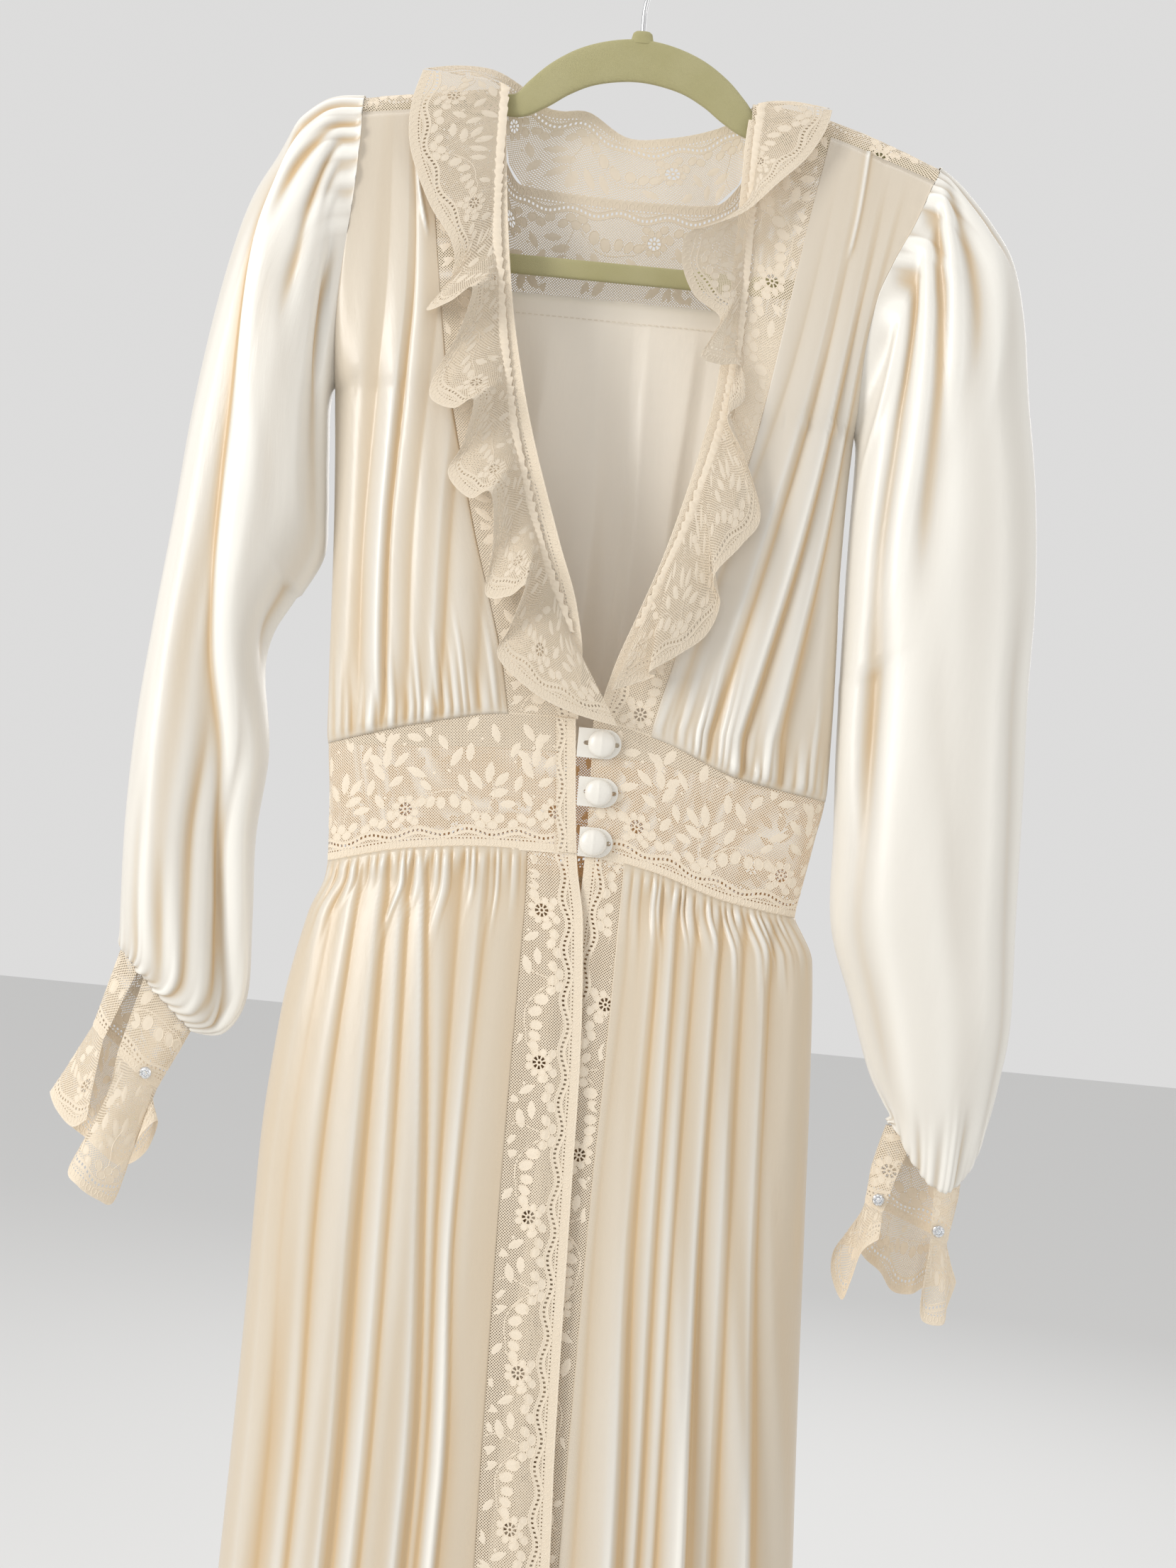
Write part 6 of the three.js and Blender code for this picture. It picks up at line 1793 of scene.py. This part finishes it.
HANGER = {"thickness": 5.5, "rings": 480, "sides": 24, "square_aside": 0.45, "square_deep": 0.6}
mirrored = [{**row, "x": -row["x"]} for row in HANGER_LINE[1:]][::-1]
corner = np.array([[row["x"], row["z"], row["half"]] for row in HANGER_LINE + mirrored])
frame_line = weights(len(corner), np.linspace(0, 1, HANGER["rings"], endpoint=False), closed=True) @ corner
turn = full_turn(HANGER["sides"])
aside = np.sign(np.cos(turn)) * np.abs(np.cos(turn)) ** HANGER["square_aside"]
deep = np.sign(np.sin(turn)) * np.abs(np.sin(turn)) ** HANGER["square_deep"]
section = np.broadcast_arrays(frame_line[:, 2:3] * aside, HANGER["thickness"] / 2 * deep)
hanger = swept("hanger_velvet", frame_line[:, :2], np.stack(section, axis=2), True, velvet)
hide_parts("hanger_body")

# the boss that holds the hook: its half width and half depth at shares of its height
BOSS = {"foot": -88, "top": -79.5, "rings": 12}
BOSS_WIDE = ((0, 9.5), (0.35, 7.4), (0.85, 6.4), (1, 4.6))
BOSS_DEEP = ((0, 2.7), (0.85, 2.6), (1, 1.9))
boss_line = np.array([[0, z] for z in np.linspace(BOSS["foot"], BOSS["top"], BOSS["rings"])])
wide, deep = (np.interp(even(BOSS["rings"]), *zip(*sizes))[:, None] for sizes in (BOSS_WIDE, BOSS_DEEP))
section = np.broadcast_arrays(wide * np.cos(turn), deep * np.sin(turn))
swept("hanger_boss", boss_line, np.stack(section, axis=2), False, velvet)

WIRE = {"radius": 1.75, "bend": 20, "rings": 160, "sides": 20}
hook_line = [(row["x"], row["z"]) for row in HOOK_PATH]
for angle in np.radians(np.arange(0, 201, 20)):
    bend = WIRE["bend"]
    hook_line.append((bend * math.cos(angle), WIRE["radius"] - bend + bend * math.sin(angle)))
hook_line = weights(len(hook_line), even(WIRE["rings"])) @ np.array(hook_line)
turn = full_turn(WIRE["sides"])
section = np.stack([WIRE["radius"] * np.cos(turn), WIRE["radius"] * np.sin(turn)], axis=1)
section = np.broadcast_to(section, (WIRE["rings"], WIRE["sides"], 2))
hook = swept("hook_wire", hook_line, section, False, chrome)
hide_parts("hanger_hook")

# ---- headings, the turned-back strip and the rows of stitches ----
HEADING = {"half": 3.2, "rise": 0.9, "pitch": 7, "foot": 2.1}
# the end of the waistband, turned back beside the buttons: width, height off the band, phase of its lace
TURNBACK = {"width": 13, "lift": 0.9, "phase": 14}
# length, gap and width of the stitches in the back and in the hem, and how far off the cloth they lie
STITCHES = {"back": (2.6, 1.5, 0.55), "hem": (3, 2.4, 0.5), "off_back": 0.9, "off_hem": 0.45}


def point_along(line, at, place):
    """The point of a line at a distance along it, at being the distances of its own points."""
    return np.array([np.interp(place, at, line[:, axis]) for axis in range(3)])


def dashes(name, line, length, gap, width, material):
    """Short flat threads along a line of points, set out on the cloth."""
    step = np.linalg.norm(np.diff(line, axis=0), axis=1)
    at = np.concatenate([[0], np.cumsum(step)])
    points, faces = [], []
    for start in np.arange(0, at[-1] - length, length + gap):
        one, two = (point_along(line, at, place) for place in (start, start + length))
        level = abs(two[0] - one[0]) > length / 2
        up = np.array([0, 0, width / 2]) if level else np.array([width / 2, 0, 0])
        faces.append(np.arange(4) + len(points))
        points.extend([one - up, two - up, two + up, one + up])
    points = np.array(points)
    return mesh_object(name, points, [np.array(faces)], points[:, [0, 2]], material, smooth=False)


for side, table in RUFFLES.items():
    along = even(421)[None, :]
    across = np.linspace(-1, 1, 7)[:, None]
    z = swing(table, "seam")(along)
    x = track(RUFFLE_SEAM, "z", side)(z)
    turn = 2 * np.pi * (z + 3 * np.sin(z / 17)) / HEADING["pitch"]
    zig = np.sin(turn) * (0.6 + 0.4 * np.sin(z / 11))
    wander = HEADING["half"] * (across + 0.2 * zig)
    ruched = HEADING["rise"] * (1 - across**2) * (0.6 + 0.4 * np.cos(1.7 * turn + 2 * across))
    y = front_surface(x, z) - HEADING["foot"] - lap_lift(side, z) - ruched
    grid = np.stack([x + wander, y, z + 1.2 * zig * across], axis=2)
    heading = Cloth(grid, along[0], (across[:, 0] + 1) / 2)
    piece = cloth_object("heading_" + side, heading, thread)
    worked["ruffle_" + side].append(piece)


def turnback_edge(z):
    return closure["left"](z) - TURNBACK["width"]


turnback = panel(
    front_surface, turnback_edge, closure["left"], waist["frontTop"], waist["frontBottom"], 9, 31
)
turnback.raise_by(LAP["lift"] + TURNBACK["lift"] + 0 * turnback.points[..., 0], -1)
strip = Strip(turnback, "end", TURNBACK["phase"])
turnback_piece = cloth_object("waistband_turnback", turnback, net, uv=(strip.s, strip.t))
turnback_work = strip.motifs("waistband_turnback_work")

BACK_STITCH_Z = -271
x = np.linspace(-150, 150, 121)
z = BACK_STITCH_Z + 0 * x
line = np.stack([x, back_surface(x, z) - STITCHES["off_back"], z], axis=1)
dashes("stitches_back", line, *STITCHES["back"], stitch)
HEM_TURN = 25
for name in ("skirt_front_left", "skirt_front_right", "skirt_back"):
    cloth = cloths[name]
    across = np.linspace(0.01, 0.99, 400)
    middle_z = cloth.points[:, cloth.points.shape[1] // 2, 2]
    drop = float(np.interp(-HEM_Z - HEM_TURN, -middle_z, cloth.down))
    sign = np.sign(cloth.normal[..., 1].mean()) * (1 if name == "skirt_back" else -1)
    line = cloth.at(across, np.full_like(across, drop), STITCHES["off_hem"] * sign)
    dashes("stitches_" + name, line, *STITCHES["hem"], stitch)

# ---- the flat cuts, in millimetres and square centimetres ----
SHEETS = rows(
    "name width length area held on",
    ("bodice_front_left", 155, 430, 410, "hung", "shoulder_strip_left"),
    ("bodice_front_right", 160, 434, 425, "hung", "shoulder_strip_right"),
    ("bodice_back", 385, 330, 1180, "hung", "back_yoke"),
    ("front_band_left", 58, 420, 210, "hung", "shoulder_strip_left"),
    ("front_band_right", 56, 424, 165, "hung", "shoulder_strip_right"),
    ("shoulder_strip_left", 35, 96, 28, "hung", "hanger_body"),
    ("shoulder_strip_right", 35, 133, 38, "hung", "hanger_body"),
    ("back_yoke", 463, 125, 350, "hung", "shoulder_strip_left"),
    ("collar_back", 304, 62, 112, "gathered", "back_yoke"),
    ("ruffle_left", 684, 71, 215, "gathered", "front_band_left"),
    ("ruffle_right", 578, 79, 155, "gathered", "front_band_right"),
    ("waistband_front_left", 178, 88, 148, "hung", "bodice_front_left"),
    ("waistband_front_right", 175, 88, 138, "hung", "bodice_front_right"),
    ("waistband_back", 351, 81, 276, "hung", "bodice_back"),
    ("skirt_front_left", 235, 830, 1710, "gathered", "waistband_front_left"),
    ("skirt_front_right", 225, 826, 1620, "gathered", "waistband_front_right"),
    ("skirt_back", 500, 814, 3630, "gathered", "waistband_back"),
    ("skirt_band_left", 52, 832, 398, "hung", "waistband_front_left"),
    ("skirt_band_right", 49, 830, 350, "hung", "waistband_front_right"),
    ("sleeve_left", 445, 624, 1460, "gathered", "bodice_front_left"),
    ("sleeve_right", 432, 705, 1850, "gathered", "bodice_front_right"),
    ("cuff_left", 151, 56, 64, "hung", "sleeve_left"),
    ("cuff_right", 109, 69, 66, "hung", "sleeve_right"),
    ("flounce_left", 333, 83, 108, "gathered", "cuff_left"),
    ("flounce_right", 278, 66, 65, "gathered", "cuff_right"),
)
pieces["hanger_body"] = hanger

# ---- the floor, the light and the camera ----
CAMERA = {"x": 11.5, "y": -1600, "z": -586, "roll": 5.5, "focal_px": 3360, "long_side_px": 2212}
camera_data = bpy.data.cameras.new("camera")
camera = bpy.data.objects.new("camera", camera_data)
bpy.context.scene.collection.objects.link(camera)
bpy.context.scene.camera = camera
SENSOR = 36
camera_data.sensor_width = SENSOR
camera_data.lens = SENSOR * CAMERA["focal_px"] / CAMERA["long_side_px"]
camera_data.clip_start, camera_data.clip_end = 0.05, 30
roll = math.radians(CAMERA["roll"])
camera.rotation_mode = "QUATERNION"
looking = Matrix.Rotation(math.radians(90), 4, "X")
camera.rotation_quaternion = (Matrix.Rotation(-roll, 4, "Y") @ looking).to_quaternion()
camera.location = Vector((CAMERA["x"], CAMERA["y"], CAMERA["z"])) * MM


def area_light(name, place, aim, size, power, color):
    """A soft rectangular light at a place, aimed at another."""
    data = bpy.data.lights.new(name, "AREA")
    data.shape = "RECTANGLE"
    data.size, data.size_y = size
    data.energy = power
    data.color = color
    light = bpy.data.objects.new(name, data)
    light.location = place
    light.rotation_mode = "QUATERNION"
    light.rotation_quaternion = (Vector(aim) - Vector(place)).to_track_quat("-Z", "Y")
    bpy.context.scene.collection.objects.link(light)


# in metres and watts
LIGHTS = rows(
    "name place aim size power color",
    ("key", (-2.0, -1.5, 0.2), (0, 0, -0.6), (0.7, 1.7), 34, (1, 0.985, 0.96)),
    ("fill", (2.2, -1.5, -0.2), (0, 0, -0.7), (0.6, 1.8), 7, (1, 0.98, 0.95)),
    ("top", (0.0, 0.3, 1.5), (0, 0, -0.5), (1.6, 1.2), 8, (1, 1, 1)),
    ("back", (0.6, 2.4, 0.4), (0, 0, -0.7), (1.6, 1.6), 14, (1, 1, 1)),
)
for row in LIGHTS:
    area_light(**row)
STUDIO = {"color": (0.95, 0.945, 0.94, 1), "strength": 0.76}
world = bpy.data.worlds.new("studio")
world.use_nodes = True
world.node_tree.nodes["Background"].inputs[0].default_value = STUDIO["color"]
world.node_tree.nodes["Background"].inputs[1].default_value = STUDIO["strength"]
bpy.context.scene.view_settings.view_transform = "Standard"
bpy.context.scene.world = world


FLOOR = {"color": (0.75, 0.75, 0.745), "roughness": 0.9, "half": 8, "below": 0.12}


def floor_sheet():
    """A plain pale floor a little below the hem."""
    n = Nodes("pale")
    n.set(Base_Color=FLOOR["color"], Roughness=FLOOR["roughness"])
    half, z = FLOOR["half"], HEM_Z * MM - FLOOR["below"]
    mesh = bpy.data.meshes.new("floor")
    corners = ((-half, -half, z), (half, -half, z), (half, half, z), (-half, half, z))
    mesh.from_pydata([Vector(corner) for corner in corners], [], [(0, 1, 2, 3)])
    mesh.materials.append(n.material)
    piece = bpy.data.objects.new("floor", mesh)
    bpy.context.scene.collection.objects.link(piece)


floor_sheet()
